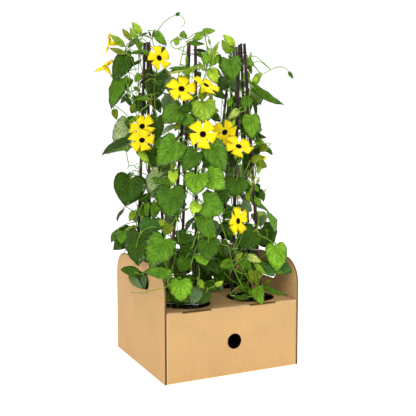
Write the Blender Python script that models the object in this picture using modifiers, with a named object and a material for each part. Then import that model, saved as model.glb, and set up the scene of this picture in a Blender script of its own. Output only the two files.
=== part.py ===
"""Black-eyed Susan vines grown up bamboo canes, four pots in a cardboard carrier.

Metres, +Z up. The origin is the middle of the carrier's underside, the carrier's long front faces -Y.
Leaves, flowers and free shoots are placed in the front view: across and up are measured in a plane
through the middle of the plants, as seen from a point in front and to the left, and depth runs away
from that point.
"""

import math

import bmesh
import bpy
from mathutils import Matrix, Vector
from mathutils.bvhtree import BVHTree

CM = 0.01
GAP = 0.0003

# Carrier
CARRIER_X = 0.300
CARRIER_Y = 0.288
DECK_Z = 0.138
END_Z = 0.223
END_ROUND = 0.050
BOARD = 0.004
HAND_HOLE_LENGTH = 0.125
HAND_HOLE_ROUND = 0.0165
HAND_HOLE_Y = 0.0025
HAND_HOLE_Z = 0.1835
FINGER_HOLE_RADIUS = 0.0155
FINGER_HOLE_Z = 0.068
PLANT_HOLE_RADIUS = 0.051
TAB_SLOTS_X = (-0.0815, 0.0655)
TAB_SLOT_LENGTH = 0.062
TAB_SLOT_WIDTH = 0.0035

# Pots and soil
POT_RIM_RADIUS = 0.062
POT_FOOT_RADIUS = 0.052
POT_HEIGHT = 0.124
POT_WALL = 0.0015
SOIL_TOP = 0.121
ROUND_SIDES = 16

# Canes, wires and stems
CANE_RADIUS = 0.00325
CANE_FOOT_Z = 0.060
CANE_LEVELS = (0.130, 0.660)
WIRE_RADIUS = 0.0006
HOOP_LOW_Z = 0.143
TIE_DROP = 0.022
STEM_RADIUS = 0.0013
TWINE_RADIUS = 0.0062
TWINE_PITCH = 0.100
TWINE_STEPS = 6
TWINE_TOP = 0.495
STEM_FOOT_Z = 0.112
PETIOLE_RADIUS = 0.0008
STALK_SIDES = 3

# The point that the front view is seen from, its turn and dip, and the plane that it is measured in
VIEW_POINT = Vector((-0.619, -1.308, 0.448))
VIEW_TURN = math.radians(25.7)
VIEW_DIP = math.radians(4.9)
VIEW_REACH = 1.45
VIEW_MID_UP = 0.33

# Each plant: the pot's place, its depth in the front view, the canes' feet and heads from the pot's
# middle (cm, at the two levels above), the cane length above ground and the upper hoop's height
PLANTS = {
    "front_left": {
        "pot": (-7.5, -7.2), "depth": -9.7, "top": 0.660, "hoop": 0.243,
        "canes": (((-4.0, -0.2), (1.0, 0.3)), ((0.6, -4.0), (2.1, -0.5)), ((0.6, 4.0), (1.5, 1.1))),
    },
    "front_right": {
        "pot": (7.5, -7.2), "depth": -3.2, "top": 0.665, "hoop": 0.243,
        "canes": (((-3.9, 0.8), (-2.3, 0.9)), ((0.4, -4.0), (-1.4, 0.3)), ((2.1, 3.4), (-1.5, 1.6))),
    },
    "back_left": {
        "pot": (-8.1, 7.2), "depth": 3.2, "top": 0.677, "hoop": 0.343,
        "canes": (((-4.3, 1.2), (-2.6, -0.3)), ((1.1, -4.0), (-1.4, -0.2)), ((0.0, 4.1), (-1.3, 1.2))),
    },
    "back_right": {
        "pot": (7.5, 7.2), "depth": 9.7, "top": 0.680, "hoop": 0.243,
        "canes": (((-1.8, -3.6), (2.7, -1.5)), ((3.9, 0.8), (4.0, -0.4)), ((-2.2, 3.4), (2.8, 0.2))),
    },
}

# Free ends above the twining: plant, cane, then points across, up and deeper than the pot (cm)
CROWNS = {
    ("back_left", 0): ((-15.0, 58.5, -1.6), (-15.0, 63.0, -1.8), (-14.9, 67.0, -1.6), (-14.6, 70.4, -1.4)),
    ("back_left", 1): ((-11.6, 57.5, -4.4), (-11.4, 61.5, -4.6), (-11.6, 65.0, -4.8)),
    ("back_left", 2): (
        (-11.2, 58.5, 2.6), (-11.0, 63.0, 2.8), (-11.4, 67.0, 2.6), (-12.0, 69.4, 1.6), (-11.0, 71.0, 0.8),
        (-10.0, 72.4, 0.2), (-9.0, 73.4, -0.2), (-8.0, 74.1, -0.5), (-7.0, 74.5, -0.8), (-5.7, 74.3, -1.0),
        (-5.0, 73.0, -1.0), (-5.8, 71.8, -0.8),
    ),
    ("front_left", 0): (
        (-6.4, 59.5, -1.6), (-6.0, 64.0, -2.0), (-5.2, 67.6, -2.2), (-6.5, 67.3, -2.2), (-7.5, 67.6, -2.0),
        (-8.1, 68.5, -1.8), (-7.6, 69.2, -1.6), (-6.6, 69.5, -1.4), (-4.4, 69.5, -1.6), (-2.7, 70.7, -1.6),
        (-0.6, 70.7, -1.4),
    ),
    ("front_left", 1): ((-1.2, 58.5, -1.4), (-0.5, 62.5, -1.0), (0.1, 65.5, -0.6), (-0.7, 70.2, -0.4)),
    ("front_left", 2): ((-3.6, 58.5, 2.8), (-3.4, 62.0, 3.2)),
    ("front_right", 0): ((4.6, 59.5, -1.0), (4.8, 64.0, -1.0), (5.3, 67.6, -0.8)),
    ("front_right", 1): (
        (8.8, 56.8, -3.8), (9.8, 59.4, -2.8), (11.6, 61.6, -1.0), (13.5, 62.8, -0.6), (15.2, 63.4, -0.4),
        (16.5, 63.2, -0.2), (17.4, 62.4, 0.0), (18.1, 61.0, 0.0),
    ),
    ("front_right", 2): ((8.2, 58.5, 2.8), (7.8, 62.5, 3.2), (7.6, 64.8, 3.2)),
    ("back_right", 0): ((2.6, 58.5, -3.0), (2.2, 62.0, -3.2)),
    ("back_right", 1): ((7.0, 58.5, 1.6), (7.2, 63.0, 1.8)),
    ("back_right", 2): ((3.2, 58.5, 3.0), (3.4, 63.0, 3.0)),
}

# Side shoots: plant, cane, height of the joint (cm), then points as above
SIDE_SHOOTS = (
    ("back_left", 0, 56.0, ((-16.8, 60.5, -2.0), (-17.2, 64.0, -2.0), (-18.0, 66.4, -1.8))),
    ("back_left", 0, 42.0, ((-15.2, 41.5, -3.0), (-16.0, 42.2, -3.4), (-17.0, 42.0, -3.4), (-17.4, 41.4, -3.2))),
    ("front_left", 0, 27.0, (
        (-10.6, 28.6, -1.4), (-12.6, 28.8, -0.9), (-14.4, 27.6, -0.3), (-15.4, 25.0, -1.3),
        (-15.8, 21.5, -1.0), (-15.7, 19.4, -0.8), (-14.6, 18.7, -1.2),
    )),
    ("front_left", 0, 21.8, (
        (-8.0, 17.0, -6.0), (-8.6, 16.3, -8.6), (-9.8, 15.7, -9.2), (-12.5, 15.1, -7.6),
        (-13.8, 14.7, -6.8), (-16.7, 14.8, -5.8),
    )),
    ("front_right", 0, 31.0, ((3.4, 30.2, -3.6), (2.2, 31.2, -4.0))),
    ("front_right", 1, 27.0, ((11.0, 27.3, -2.6), (12.6, 26.5, -2.6), (14.4, 25.3, -2.8))),
)

# Flowers: name, plant, middle across and up, deeper than the pot, size across (cm), turn to the
# right and tilt upwards of the face (degrees)
FLOWERS = (
    ("flower_top_left", "back_left", -10.5, 65.3, -4.8, 5.3, 32, 4),
    ("flower_upper_left", "front_left", -5.7, 58.7, -4.2, 5.8, 6, 20),
    ("flower_upper_middle", "front_left", -0.4, 59.5, -4.2, 5.6, 40, 44),
    ("flower_left_upper", "back_left", -14.2, 50.6, -5.6, 5.6, -10, 14),
    ("flower_left_lower", "back_left", -14.2, 47.6, -6.8, 5.6, 0, 24),
    ("flower_middle", "front_left", -1.1, 48.9, -6.6, 5.7, 0, 4),
    ("flower_middle_right", "front_right", 3.6, 49.3, -3.4, 5.6, -24, 12),
    ("flower_right", "front_right", 6.6, 46.3, -5.6, 6.0, 12, 40),
    ("flower_low_right", "front_right", 6.5, 30.2, -5.4, 5.9, 48, 0),
    ("flower_side_upper", "back_left", -21.4, 68.6, -1.6, 4.6, -76, 8),
    ("flower_side_lower", "back_left", -22.3, 63.6, -2.2, 5.0, -56, 48),
    ("bud_right", "front_right", 12.0, 43.8, -1.2, 1.5, 82, 10),
)

# Leaves: plant, stalk end across and up, tip across and up, width, deeper than the pot, how much
# deeper the tip is (cm), roll about the midrib (degrees)
LEAVES = (
    ("back_left", -11.2, 70.7, -8.9, 68.0, 1.8, -1.0, -0.8, 20),
    ("back_left", -17.3, 65.9, -20.4, 60.6, 3.8, -2.6, -1.0, -15),
    ("back_left", -18.4, 61.4, -20.9, 54.2, 3.0, -1.2, -0.5, 10),
    ("back_left", -13.9, 66.5, -16.8, 66.3, 1.5, -2.6, -1.2, 35),
    ("back_left", -13.8, 66.8, -11.3, 65.4, 1.5, -3.4, -0.8, -30),
    ("back_left", -11.0, 62.6, -11.6, 56.0, 5.2, -1.8, -1.0, 0),
    ("back_left", -9.4, 67.4, -10.4, 65.6, 1.2, -2.0, -0.4, 10),
    ("back_left", -14.5, 70.5, -16.4, 73.0, 1.3, -1.2, 0.3, 30),
    ("back_left", -15.2, 69.8, -16.9, 72.0, 1.2, -2.0, -0.4, -30),
    ("back_left", -16.6, 69.2, -18.4, 71.6, 1.2, -1.6, 0.0, 20),
    ("back_left", -6.9, 74.5, -6.0, 75.2, 0.8, -0.8, 0.0, 30),
    ("back_left", -20.1, 54.3, -19.7, 52.0, 1.6, -0.6, 0.3, 15),
    ("back_left", -17.2, 51.9, -20.4, 46.6, 3.8, -0.4, 1.6, 12),
    ("back_left", -16.9, 47.8, -23.0, 44.4, 2.6, -2.0, -2.4, 48),
    ("back_left", -16.0, 55.4, -16.3, 53.6, 1.1, -2.4, -0.2, 0),
    ("back_left", -15.9, 52.5, -18.2, 51.5, 1.4, -2.0, 0.4, 20),
    ("back_left", -13.2, 57.0, -11.6, 54.6, 1.4, -3.0, -0.4, -20),
    ("back_left", -15.4, 57.4, -13.8, 53.4, 2.2, -1.2, -0.4, 10),
    ("back_left", -11.0, 52.9, -11.2, 47.0, 3.0, -2.6, -1.0, -20),
    ("back_left", -9.4, 47.8, -12.0, 45.4, 1.9, -4.0, -0.8, 24),
    ("back_left", -12.6, 45.6, -11.2, 41.0, 2.4, -2.4, 0.6, 10),
    ("back_left", -15.2, 45.5, -12.6, 42.8, 1.6, -4.2, -0.6, -12),
    ("back_left", -16.5, 39.9, -17.8, 33.3, 6.4, -3.0, -1.4, -10),
    ("back_left", -10.2, 41.0, -13.2, 36.1, 3.6, -4.6, 1.4, 16),
    ("back_left", -15.8, 32.4, -17.0, 30.1, 1.6, -1.8, -0.4, 10),
    ("back_left", -15.6, 29.1, -18.1, 28.2, 1.3, -1.8, -0.4, -30),
    ("back_left", -13.0, 34.4, -13.2, 30.2, 1.5, -3.2, 0.0, 28),
    ("back_left", -11.0, 34.4, -12.0, 30.5, 2.1, -3.6, 0.0, -24),
    ("back_left", -16.6, 28.2, -20.4, 23.9, 4.0, -3.0, -2.0, -20),
    ("front_left", -14.5, 28.3, -15.2, 20.6, 5.2, 0.4, -2.6, 8),
    ("front_left", -15.3, 19.0, -18.9, 19.9, 1.9, -1.6, 1.0, 30),
    ("front_left", -16.6, 18.2, -13.7, 15.5, 1.7, -0.6, -1.4, 12),
    ("front_left", -13.9, 18.5, -13.6, 15.7, 1.4, -2.6, -0.6, -20),
    ("front_left", -8.1, 18.5, -14.0, 19.3, 2.4, -8.8, 0.6, 38),
    ("front_left", -6.5, 47.6, -11.0, 42.0, 4.9, -5.8, -1.4, -10),
    ("front_left", -5.8, 54.8, -9.8, 51.3, 4.2, -3.6, -1.4, 14),
    ("front_left", -5.6, 52.5, -2.4, 51.7, 2.4, -3.4, -0.8, 22),
    ("front_left", -3.2, 55.1, -6.4, 54.1, 1.9, -4.6, -0.8, -18),
    ("front_left", -1.1, 56.2, -0.6, 51.2, 4.3, -5.0, -1.2, 0),
    ("front_left", -7.2, 50.7, -10.1, 48.9, 1.4, -3.0, 0.8, 30),
    ("front_left", -6.2, 51.3, -7.2, 49.6, 1.3, -3.8, 0.0, 10),
    ("front_left", -2.4, 45.4, -5.4, 40.9, 3.6, -5.2, -1.4, 10),
    ("front_left", -8.3, 44.2, -9.9, 41.2, 2.6, -3.2, 0.4, -10),
    ("front_left", -7.4, 42.7, -7.9, 40.8, 1.2, -4.4, 0.0, 20),
    ("front_left", -7.5, 41.0, -7.5, 38.0, 1.8, -5.2, -0.4, 0),
    ("front_left", -8.0, 37.7, -8.1, 30.5, 5.4, -5.4, -1.6, 0),
    ("front_left", 0.3, 47.1, 3.8, 40.8, 4.2, -5.6, -0.8, 0),
    ("front_left", 0.4, 44.2, 1.4, 41.0, 3.2, -2.4, 0.0, 10),
    ("front_left", -2.4, 40.5, -2.7, 35.7, 4.5, -6.4, -1.4, 0),
    ("front_left", -0.4, 40.9, 3.7, 37.1, 4.3, -5.8, -1.4, 6),
    ("front_left", -4.0, 68.7, -1.0, 68.3, 1.0, -1.4, -0.6, 50),
    ("front_left", -4.2, 63.0, -8.4, 62.4, 1.4, -2.4, -1.0, 45),
    ("front_left", -6.6, 69.4, -6.4, 68.2, 0.8, -1.4, 0.0, 0),
    ("front_left", -4.8, 69.7, -5.4, 71.0, 0.8, -1.6, 0.0, 20),
    ("front_left", -1.6, 70.5, -3.4, 68.8, 1.0, -1.6, -0.4, 10),
    ("front_left", -0.6, 71.0, 1.5, 71.3, 0.9, -1.2, -0.4, 20),
    ("front_left", -0.5, 66.0, -0.3, 64.2, 1.0, -1.2, -0.4, 40),
    ("front_left", 0.3, 65.8, 1.5, 64.2, 1.0, -0.6, -0.4, -40),
    ("front_left", 0.6, 62.9, 1.9, 59.7, 2.1, -2.0, -0.8, 0),
    ("front_left", -1.0, 58.6, -1.0, 56.3, 1.3, -1.6, -0.4, 0),
    ("front_left", 0.3, 58.6, 1.0, 55.8, 0.9, -1.6, -0.4, 20),
    ("front_left", -2.2, 34.1, -3.5, 31.7, 2.2, -5.6, -0.4, 0),
    ("front_left", -9.2, 29.6, -10.8, 30.2, 1.4, -3.6, 0.0, 10),
    ("front_left", -9.2, 26.8, -12.5, 20.2, 5.3, -4.4, -2.4, -5),
    ("front_left", -8.0, 29.4, -9.5, 27.1, 1.9, -3.0, 0.0, 10),
    ("front_left", -8.4, 23.6, -9.5, 21.3, 1.8, -3.4, -0.4, 20),
    ("front_left", -4.4, 27.7, -6.2, 25.0, 3.0, -2.6, 0.0, 10),
    ("front_left", -3.4, 24.6, -6.8, 22.2, 2.8, -2.2, 0.0, -10),
    ("front_left", -4.6, 22.4, -6.2, 18.8, 2.8, -3.4, -0.4, 10),
    ("front_left", -6.0, 17.7, -5.8, 12.8, 4.3, -6.0, -1.0, 0),
    ("front_left", -2.1, 15.5, -3.6, 12.1, 2.6, -5.2, -1.0, 12),
    ("front_left", -4.4, 15.6, -3.8, 14.0, 1.2, -6.0, -0.4, 0),
    ("front_left", -0.4, 14.9, -1.6, 12.2, 2.4, -3.6, -1.0, -10),
    ("front_left", -1.6, 31.8, 1.9, 25.2, 3.3, -4.6, -1.0, 10),
    ("front_left", -1.4, 34.4, 3.7, 32.4, 4.8, -5.0, -1.4, 6),
    ("front_left", 1.6, 36.8, 4.4, 34.7, 2.8, -2.4, -0.4, -20),
    ("front_left", 0.0, 26.2, 0.2, 21.6, 4.1, -5.4, -1.0, 0),
    ("front_left", -1.7, 23.2, -0.3, 20.6, 2.6, -4.4, -0.8, -20),
    ("front_left", -2.0, 17.5, -0.9, 15.5, 1.3, -4.6, -0.4, 0),
    ("front_left", -0.7, 16.8, 2.0, 15.1, 1.8, -3.8, -0.4, 20),
    ("front_left", 1.6, 16.3, 3.4, 17.3, 1.2, -3.0, -0.2, 20),
    ("back_right", 0.6, 53.7, 2.6, 52.5, 1.4, -3.6, -0.4, 0),
    ("back_right", 4.8, 60.9, 2.4, 58.1, 2.7, -2.6, -0.6, 10),
    ("back_right", 0.8, 58.5, 4.0, 56.5, 1.9, -3.4, -0.6, -16),
    ("back_right", 2.6, 25.6, 4.4, 21.9, 2.8, -4.6, -0.8, 0),
    ("back_right", 1.0, 22.9, 3.4, 21.4, 2.2, -4.2, -0.4, 20),
    ("back_right", 1.8, 21.8, 1.6, 19.6, 1.6, -4.4, 0.0, 0),
    ("back_right", 1.6, 49.6, 2.4, 51.0, 1.6, -2.6, 0.4, 0),
    ("back_right", -4.2, 53.0, -3.0, 49.0, 3.2, -3.0, 0.4, 10),
    ("back_right", 2.8, 29.8, 4.4, 26.0, 3.0, -3.0, 0.0, 10),
    ("front_right", 4.5, 65.4, 5.5, 60.2, 4.3, -2.8, -1.2, 0),
    ("front_right", 7.6, 64.8, 9.9, 63.7, 1.3, 1.6, -0.6, 20),
    ("front_right", 5.3, 67.6, 3.3, 70.2, 1.4, -1.0, 0.0, 20),
    ("front_right", 5.3, 67.2, 3.6, 66.4, 1.2, -1.4, -0.4, -20),
    ("front_right", 9.9, 59.9, 11.3, 62.0, 1.6, -2.0, -0.4, 0),
    ("front_right", 9.6, 59.3, 16.3, 55.0, 1.8, -2.2, -1.2, 42),
    ("front_right", 17.4, 62.3, 18.4, 60.8, 0.8, -0.2, 0.0, 10),
    ("front_right", 8.8, 56.9, 7.3, 54.3, 2.3, -2.4, -0.4, 0),
    ("front_right", 9.4, 57.1, 10.9, 55.2, 1.5, -1.6, -0.2, 10),
    ("front_right", 5.0, 56.5, 4.2, 54.6, 1.3, -2.2, 0.0, 0),
    ("front_right", 6.6, 54.2, 4.2, 52.0, 1.7, -3.4, -0.4, 10),
    ("front_right", 5.6, 54.8, 4.9, 50.4, 3.0, 1.6, 0.0, -20),
    ("front_right", 8.0, 53.8, 8.0, 49.4, 2.6, 2.0, 0.0, 10),
    ("front_right", 9.2, 53.1, 9.4, 47.8, 3.5, -2.8, -1.0, 0),
    ("front_right", 10.3, 48.8, 12.5, 48.1, 1.1, -1.6, 0.0, 50),
    ("front_right", 10.2, 47.8, 12.4, 46.3, 1.5, -2.0, -0.4, 0),
    ("front_right", 12.8, 46.4, 10.9, 45.2, 1.7, -2.6, 0.4, 20),
    ("front_right", 12.9, 45.7, 13.9, 44.4, 0.9, -2.2, 0.0, 0),
    ("front_right", 11.0, 46.4, 9.6, 44.4, 1.7, 0.6, 0.0, -20),
    ("front_right", 10.6, 42.9, 12.7, 41.8, 1.9, -1.6, -0.4, 20),
    ("front_right", 6.2, 45.2, 5.0, 41.6, 2.6, 1.4, 0.0, 0),
    ("front_right", 8.8, 45.4, 9.2, 40.8, 2.6, 1.4, 0.0, 10),
    ("front_right", 6.2, 39.4, 5.4, 35.5, 4.9, -5.4, -1.2, 0),
    ("front_right", 9.8, 38.0, 10.3, 33.2, 2.6, 0.8, 0.0, 10),
    ("front_right", 10.9, 36.8, 12.0, 35.3, 1.4, -0.6, 0.0, 20),
    ("front_right", 10.3, 34.9, 11.4, 33.5, 1.5, -1.4, 0.0, 0),
    ("front_right", 10.3, 31.8, 12.6, 32.0, 1.2, -1.6, 0.0, 20),
    ("front_right", 8.4, 36.2, 8.9, 33.5, 1.0, -3.2, 0.0, 10),
    ("front_right", 7.2, 34.0, 9.5, 32.3, 2.3, -3.0, -0.4, 10),
    ("front_right", 5.0, 32.0, 3.3, 30.8, 1.7, -3.6, 0.0, 0),
    ("front_right", 5.1, 29.2, 4.6, 26.7, 1.9, -4.4, -0.4, 0),
    ("front_right", 10.2, 28.4, 6.6, 23.9, 4.8, -2.4, 0.0, 10),
    ("front_right", 11.2, 29.0, 13.5, 24.3, 4.8, -1.2, 0.0, -6),
    ("front_right", 12.8, 28.2, 14.8, 27.0, 1.8, -0.6, 0.0, 10),
    ("front_right", 14.5, 25.3, 15.0, 19.2, 4.1, -2.6, -1.2, 0),
    ("front_right", 14.9, 20.9, 18.2, 19.1, 2.5, -3.2, -0.6, 20),
    ("front_right", 12.2, 20.4, 14.4, 18.3, 1.9, -3.4, -0.4, 0),
    ("front_right", 12.0, 16.1, 17.3, 14.2, 1.4, -2.6, -0.8, 30),
    ("front_right", 8.5, 22.7, 11.6, 21.4, 1.7, -4.6, -0.6, 10),
    ("front_right", 10.2, 20.9, 12.7, 18.5, 1.2, -4.4, -0.4, 20),
    ("front_right", 7.2, 22.1, 9.2, 19.8, 2.5, -3.8, -0.4, 0),
    ("front_right", 6.2, 22.2, 7.5, 23.5, 1.1, -5.0, -0.2, 0),
    ("front_right", 9.1, 19.8, 9.7, 16.3, 1.3, -4.6, -0.2, 20),
    ("front_right", 10.4, 19.6, 10.1, 16.4, 1.4, -4.2, 0.0, -20),
    ("front_right", 11.4, 19.4, 10.8, 17.4, 1.1, -4.4, 0.0, 10),
    ("front_right", 12.2, 16.7, 13.7, 17.6, 1.2, -3.0, 0.0, 10),
    ("front_right", 10.4, 15.9, 11.8, 12.1, 2.5, -4.4, -2.2, 10),
    ("front_right", 8.9, 15.4, 9.9, 13.9, 1.4, -4.6, -0.4, 0),
    ("front_right", 8.8, 13.9, 5.6, 13.2, 1.6, -4.4, -0.4, 45),
    ("front_right", 4.9, 21.4, 2.2, 20.1, 1.9, -4.2, -0.6, 10),
)

# Every large leaf in front has one behind it that faces the other way
REAR_SMALLEST_WIDTH = 2.4
REAR_SCALE = 0.86
REAR_DEPTH = 5.0
REAR_SWAY = 1.6

# What is tried, in turn, where a leaf would touch something: depth (cm), roll (degrees), joint
NUDGES = (0.0, -0.6, 0.6, -1.2, 1.2, -1.8, 1.8, -2.4, 2.4, -3.2, 3.2)
ROLLS = (0, 24, -24)
JOINTS_TRIED = 3
JOINT_ABOVE_COST = 0.8
JOINT_SHARED_COST = 0.010
LEAF_MARK = "_leaves"
FLAT_ANGLE = 3.0
LEAF_ARCH = 0.07
LEAF_FOLD = 0.22
LEAF_THICKNESS = 0.0011
LEAF_POLE = 0.40
STALK_IN_LEAF = 0.85

# Half of a leaf's outline from the stalk round to the tip: along the midrib and out to the side, as
# parts of the length and of the width
LEAF_OUTLINE = ((0.07, 0.00), (-0.05, 0.28), (0.20, 0.48), (0.62, 0.29), (1.00, 0.00))

# Flowers
PETALS = 5
FLOWER_TUBE = 0.022
CALYX_HALF = 0.006
CALYX_RADIUS = 0.0038

# The hand holes stay free of leaves, on both sides of their panels: along Y, along Z and out from X = 0
HAND_HOLE_SPACE_Y = (-0.0425, 0.0475)
HAND_HOLE_SPACE_Z = (0.1675, 0.1995)
HAND_HOLE_REACH = (0.125, 0.175)

COLOURS = {
    "board": (0.66, 0.42, 0.20),
    "pot": (0.02, 0.02, 0.02),
    "soil": (0.05, 0.03, 0.02),
    "cane": (0.05, 0.02, 0.02),
    "wire_white": (0.80, 0.80, 0.76),
    "wire_black": (0.02, 0.02, 0.02),
    "plant": (0.10, 0.28, 0.03),
    "flower": (1.00, 0.78, 0.00),
}


def clear_scene():
    for found in list(bpy.data.objects):
        bpy.data.objects.remove(found, do_unlink=True)


def new_collection(name):
    made = bpy.data.collections.new(name)
    bpy.context.scene.collection.children.link(made)
    return made


def finish_material(name, colour, roughness=0.7, metallic=0.0):
    made = bpy.data.materials.new(name)
    made.use_nodes = True
    shader = made.node_tree.nodes["Principled BSDF"]
    shader.inputs["Base Color"].default_value = (*colour, 1.0)
    shader.inputs["Roughness"].default_value = roughness
    shader.inputs["Metallic"].default_value = metallic
    return made


def add_object(name, data, collection, colour, roughness=0.7):
    made = bpy.data.objects.new(name, data)
    collection.objects.link(made)
    if collection is PARTS:
        data.materials.clear()
        data.materials.append(finish_material(name, colour, roughness))
    return made


def hide_cutter(cutter):
    cutter.hide_render = True
    cutter.display_type = "WIRE"
    return cutter


def curve_to_mesh(curve_object):
    """A closed mesh of a curve, with its caps welded on."""
    bpy.context.view_layer.update()
    graph = bpy.context.evaluated_depsgraph_get()
    mesh = bpy.data.meshes.new_from_object(curve_object.evaluated_get(graph))
    mesh.transform(curve_object.matrix_world)
    curve = curve_object.data
    bpy.data.objects.remove(curve_object, do_unlink=True)
    bpy.data.curves.remove(curve)
    work = bmesh.new()
    work.from_mesh(mesh)
    bmesh.ops.remove_doubles(work, verts=work.verts, dist=1e-6)
    bmesh.ops.recalc_face_normals(work, faces=work.faces)
    work.to_mesh(mesh)
    work.free()
    return mesh


def tube_mesh(points, radius, closed=False, sides_step=1, taper=None):
    """A wire, stalk or stem along points; its radius may change from point to point."""
    curve = bpy.data.curves.new("tube", "CURVE")
    curve.dimensions = "3D"
    curve.bevel_depth = radius
    curve.bevel_resolution = sides_step
    curve.use_fill_caps = not closed
    spline = curve.splines.new("POLY")
    spline.points.add(len(points) - 1)
    for index, point in enumerate(points):
        spline.points[index].co = (*point, 1.0)
        if taper:
            spline.points[index].radius = taper[index]
    spline.use_cyclic_u = closed
    holder = bpy.data.objects.new("tube", curve)
    CUTTERS.objects.link(holder)
    return curve_to_mesh(holder)


def flat_mesh(outlines, thickness, placement):
    """A board cut to outlines, the first one its edge and the others its holes."""
    curve = bpy.data.curves.new("board", "CURVE")
    curve.dimensions = "2D"
    curve.fill_mode = "BOTH"
    curve.extrude = thickness / 2
    for outline in outlines:
        spline = curve.splines.new("POLY")
        spline.points.add(len(outline) - 1)
        for index, (x, y) in enumerate(outline):
            spline.points[index].co = (x, y, 0.0, 1.0)
        spline.use_cyclic_u = True
    holder = bpy.data.objects.new("board", curve)
    CUTTERS.objects.link(holder)
    holder.matrix_world = placement
    return curve_to_mesh(holder)


def arc(centre, radius, start, stop, steps):
    points = []
    for step in range(steps + 1):
        angle = math.radians(start + (stop - start) * step / steps)
        points.append((centre[0] + radius * math.cos(angle), centre[1] + radius * math.sin(angle)))
    return points


def turned(name, profile, place, colour, roughness):
    """A round piece from a profile that runs down its outer side."""
    work = bmesh.new()
    made = [work.verts.new((radius, 0.0, height)) for radius, height in profile]
    for first, second in zip(made, made[1:]):
        work.edges.new((first, second))
    mesh = bpy.data.meshes.new(name)
    work.to_mesh(mesh)
    work.free()
    piece = add_object(name, mesh, PARTS, colour, roughness)
    screw = piece.modifiers.new("turn", "SCREW")
    screw.steps = ROUND_SIDES
    screw.render_steps = ROUND_SIDES
    screw.use_merge_vertices = True
    screw.merge_threshold = 0.00001
    piece.location = place
    return piece


def cut(piece, cutter):
    modifier = piece.modifiers.new("cut", "BOOLEAN")
    modifier.operation = "DIFFERENCE"
    modifier.solver = "EXACT"
    modifier.object = hide_cutter(cutter)


def cylinder_mesh(start, end, radius, sides):
    """A straight rod between two points."""
    work = bmesh.new()
    axis = Vector(end) - Vector(start)
    turn = axis.to_track_quat("Z", "Y").to_matrix().to_4x4()
    middle = Matrix.Translation((Vector(start) + Vector(end)) / 2)
    bmesh.ops.create_cone(
        work, cap_ends=True, segments=sides, radius1=radius, radius2=radius,
        depth=axis.length, matrix=middle @ turn,
    )
    mesh = bpy.data.meshes.new("rod")
    work.to_mesh(mesh)
    work.free()
    return mesh


def view_axes():
    forward = Vector((
        math.sin(VIEW_TURN) * math.cos(VIEW_DIP),
        math.cos(VIEW_TURN) * math.cos(VIEW_DIP),
        -math.sin(VIEW_DIP),
    ))
    right = Vector((math.cos(VIEW_TURN), -math.sin(VIEW_TURN), 0.0))
    return right, right.cross(forward), forward


RIGHT, UP, FORWARD = view_axes()


def seen_at(across, up, depth):
    """The place that the front view shows at across, up and depth, all in cm."""
    side = RIGHT * (across * CM / VIEW_REACH)
    rise = UP * ((up * CM - VIEW_MID_UP) / VIEW_REACH)
    return VIEW_POINT + (VIEW_REACH + depth * CM) * (FORWARD + side + rise)


def make_carrier():
    half_y = CARRIER_Y / 2
    inner_x = CARRIER_X / 2 - BOARD - GAP
    wall = half_y - BOARD
    side = (
        (-half_y, 0.0), (half_y, 0.0), (half_y, DECK_Z), (wall, DECK_Z),
        (wall, BOARD), (-wall, BOARD), (-wall, DECK_Z), (-half_y, DECK_Z),
    )
    along_x = Matrix(((0, 0, 1, 0), (1, 0, 0, 0), (0, 1, 0, 0), (0, 0, 0, 1)))
    tray = add_object("carton_tray", flat_mesh([side], 2 * inner_x, along_x), PARTS, COLOURS["board"])
    finger = cylinder_mesh(
        (0.0, -half_y - BOARD, FINGER_HOLE_Z), (0.0, -half_y + 2 * BOARD, FINGER_HOLE_Z),
        FINGER_HOLE_RADIUS, ROUND_SIDES,
    )
    cut(tray, add_object("finger_hole_cutter", finger, CUTTERS, None))

    edge = wall - GAP
    outline = [(-inner_x, edge), (inner_x, edge), (inner_x, -edge)]
    for middle in sorted(TAB_SLOTS_X, reverse=True):
        near = middle + TAB_SLOT_LENGTH / 2
        far = middle - TAB_SLOT_LENGTH / 2
        outline += [
            (near, -edge), (near, -edge + TAB_SLOT_WIDTH), (far, -edge + TAB_SLOT_WIDTH), (far, -edge),
        ]
    outline.append((-inner_x, -edge))
    holes = []
    for plant in PLANTS.values():
        middle = (plant["pot"][0] * CM, plant["pot"][1] * CM)
        holes.append(arc(middle, PLANT_HOLE_RADIUS, 0, 360 - 360 / ROUND_SIDES, ROUND_SIDES - 1))
    deck = flat_mesh([outline] + holes, BOARD, Matrix.Translation((0, 0, DECK_Z - BOARD / 2 - GAP)))
    add_object("carton_deck", deck, PARTS, COLOURS["board"])

    panel = [(-half_y, 0.0), (half_y, 0.0)]
    panel += arc((half_y - END_ROUND, END_Z - END_ROUND), END_ROUND, 0, 90, 6)
    panel += arc((-half_y + END_ROUND, END_Z - END_ROUND), END_ROUND, 90, 180, 6)
    reach = HAND_HOLE_LENGTH / 2 - HAND_HOLE_ROUND
    hand = arc((HAND_HOLE_Y + reach, HAND_HOLE_Z), HAND_HOLE_ROUND, -90, 90, 6)
    hand += arc((HAND_HOLE_Y - reach, HAND_HOLE_Z), HAND_HOLE_ROUND, 90, 270, 6)
    for name, way in (("carton_end_left", -1), ("carton_end_right", 1)):
        place = Matrix.Translation((way * (CARRIER_X / 2 - BOARD / 2), 0, 0)) @ along_x
        add_object(name, flat_mesh([panel, hand], BOARD, place), PARTS, COLOURS["board"])


def cane_line(plant, cane):
    """Two points of a cane's middle line, at its foot and at its head."""
    foot, head = PLANTS[plant]["canes"][cane]
    pot = Vector((*PLANTS[plant]["pot"], 0)) * CM
    low = pot + Vector((foot[0] * CM, foot[1] * CM, CANE_LEVELS[0]))
    high = pot + Vector((head[0] * CM, head[1] * CM, CANE_LEVELS[1]))
    return low, high


def cane_at(plant, cane, height):
    low, high = cane_line(plant, cane)
    return low.lerp(high, (height - low.z) / (high.z - low.z))


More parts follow.
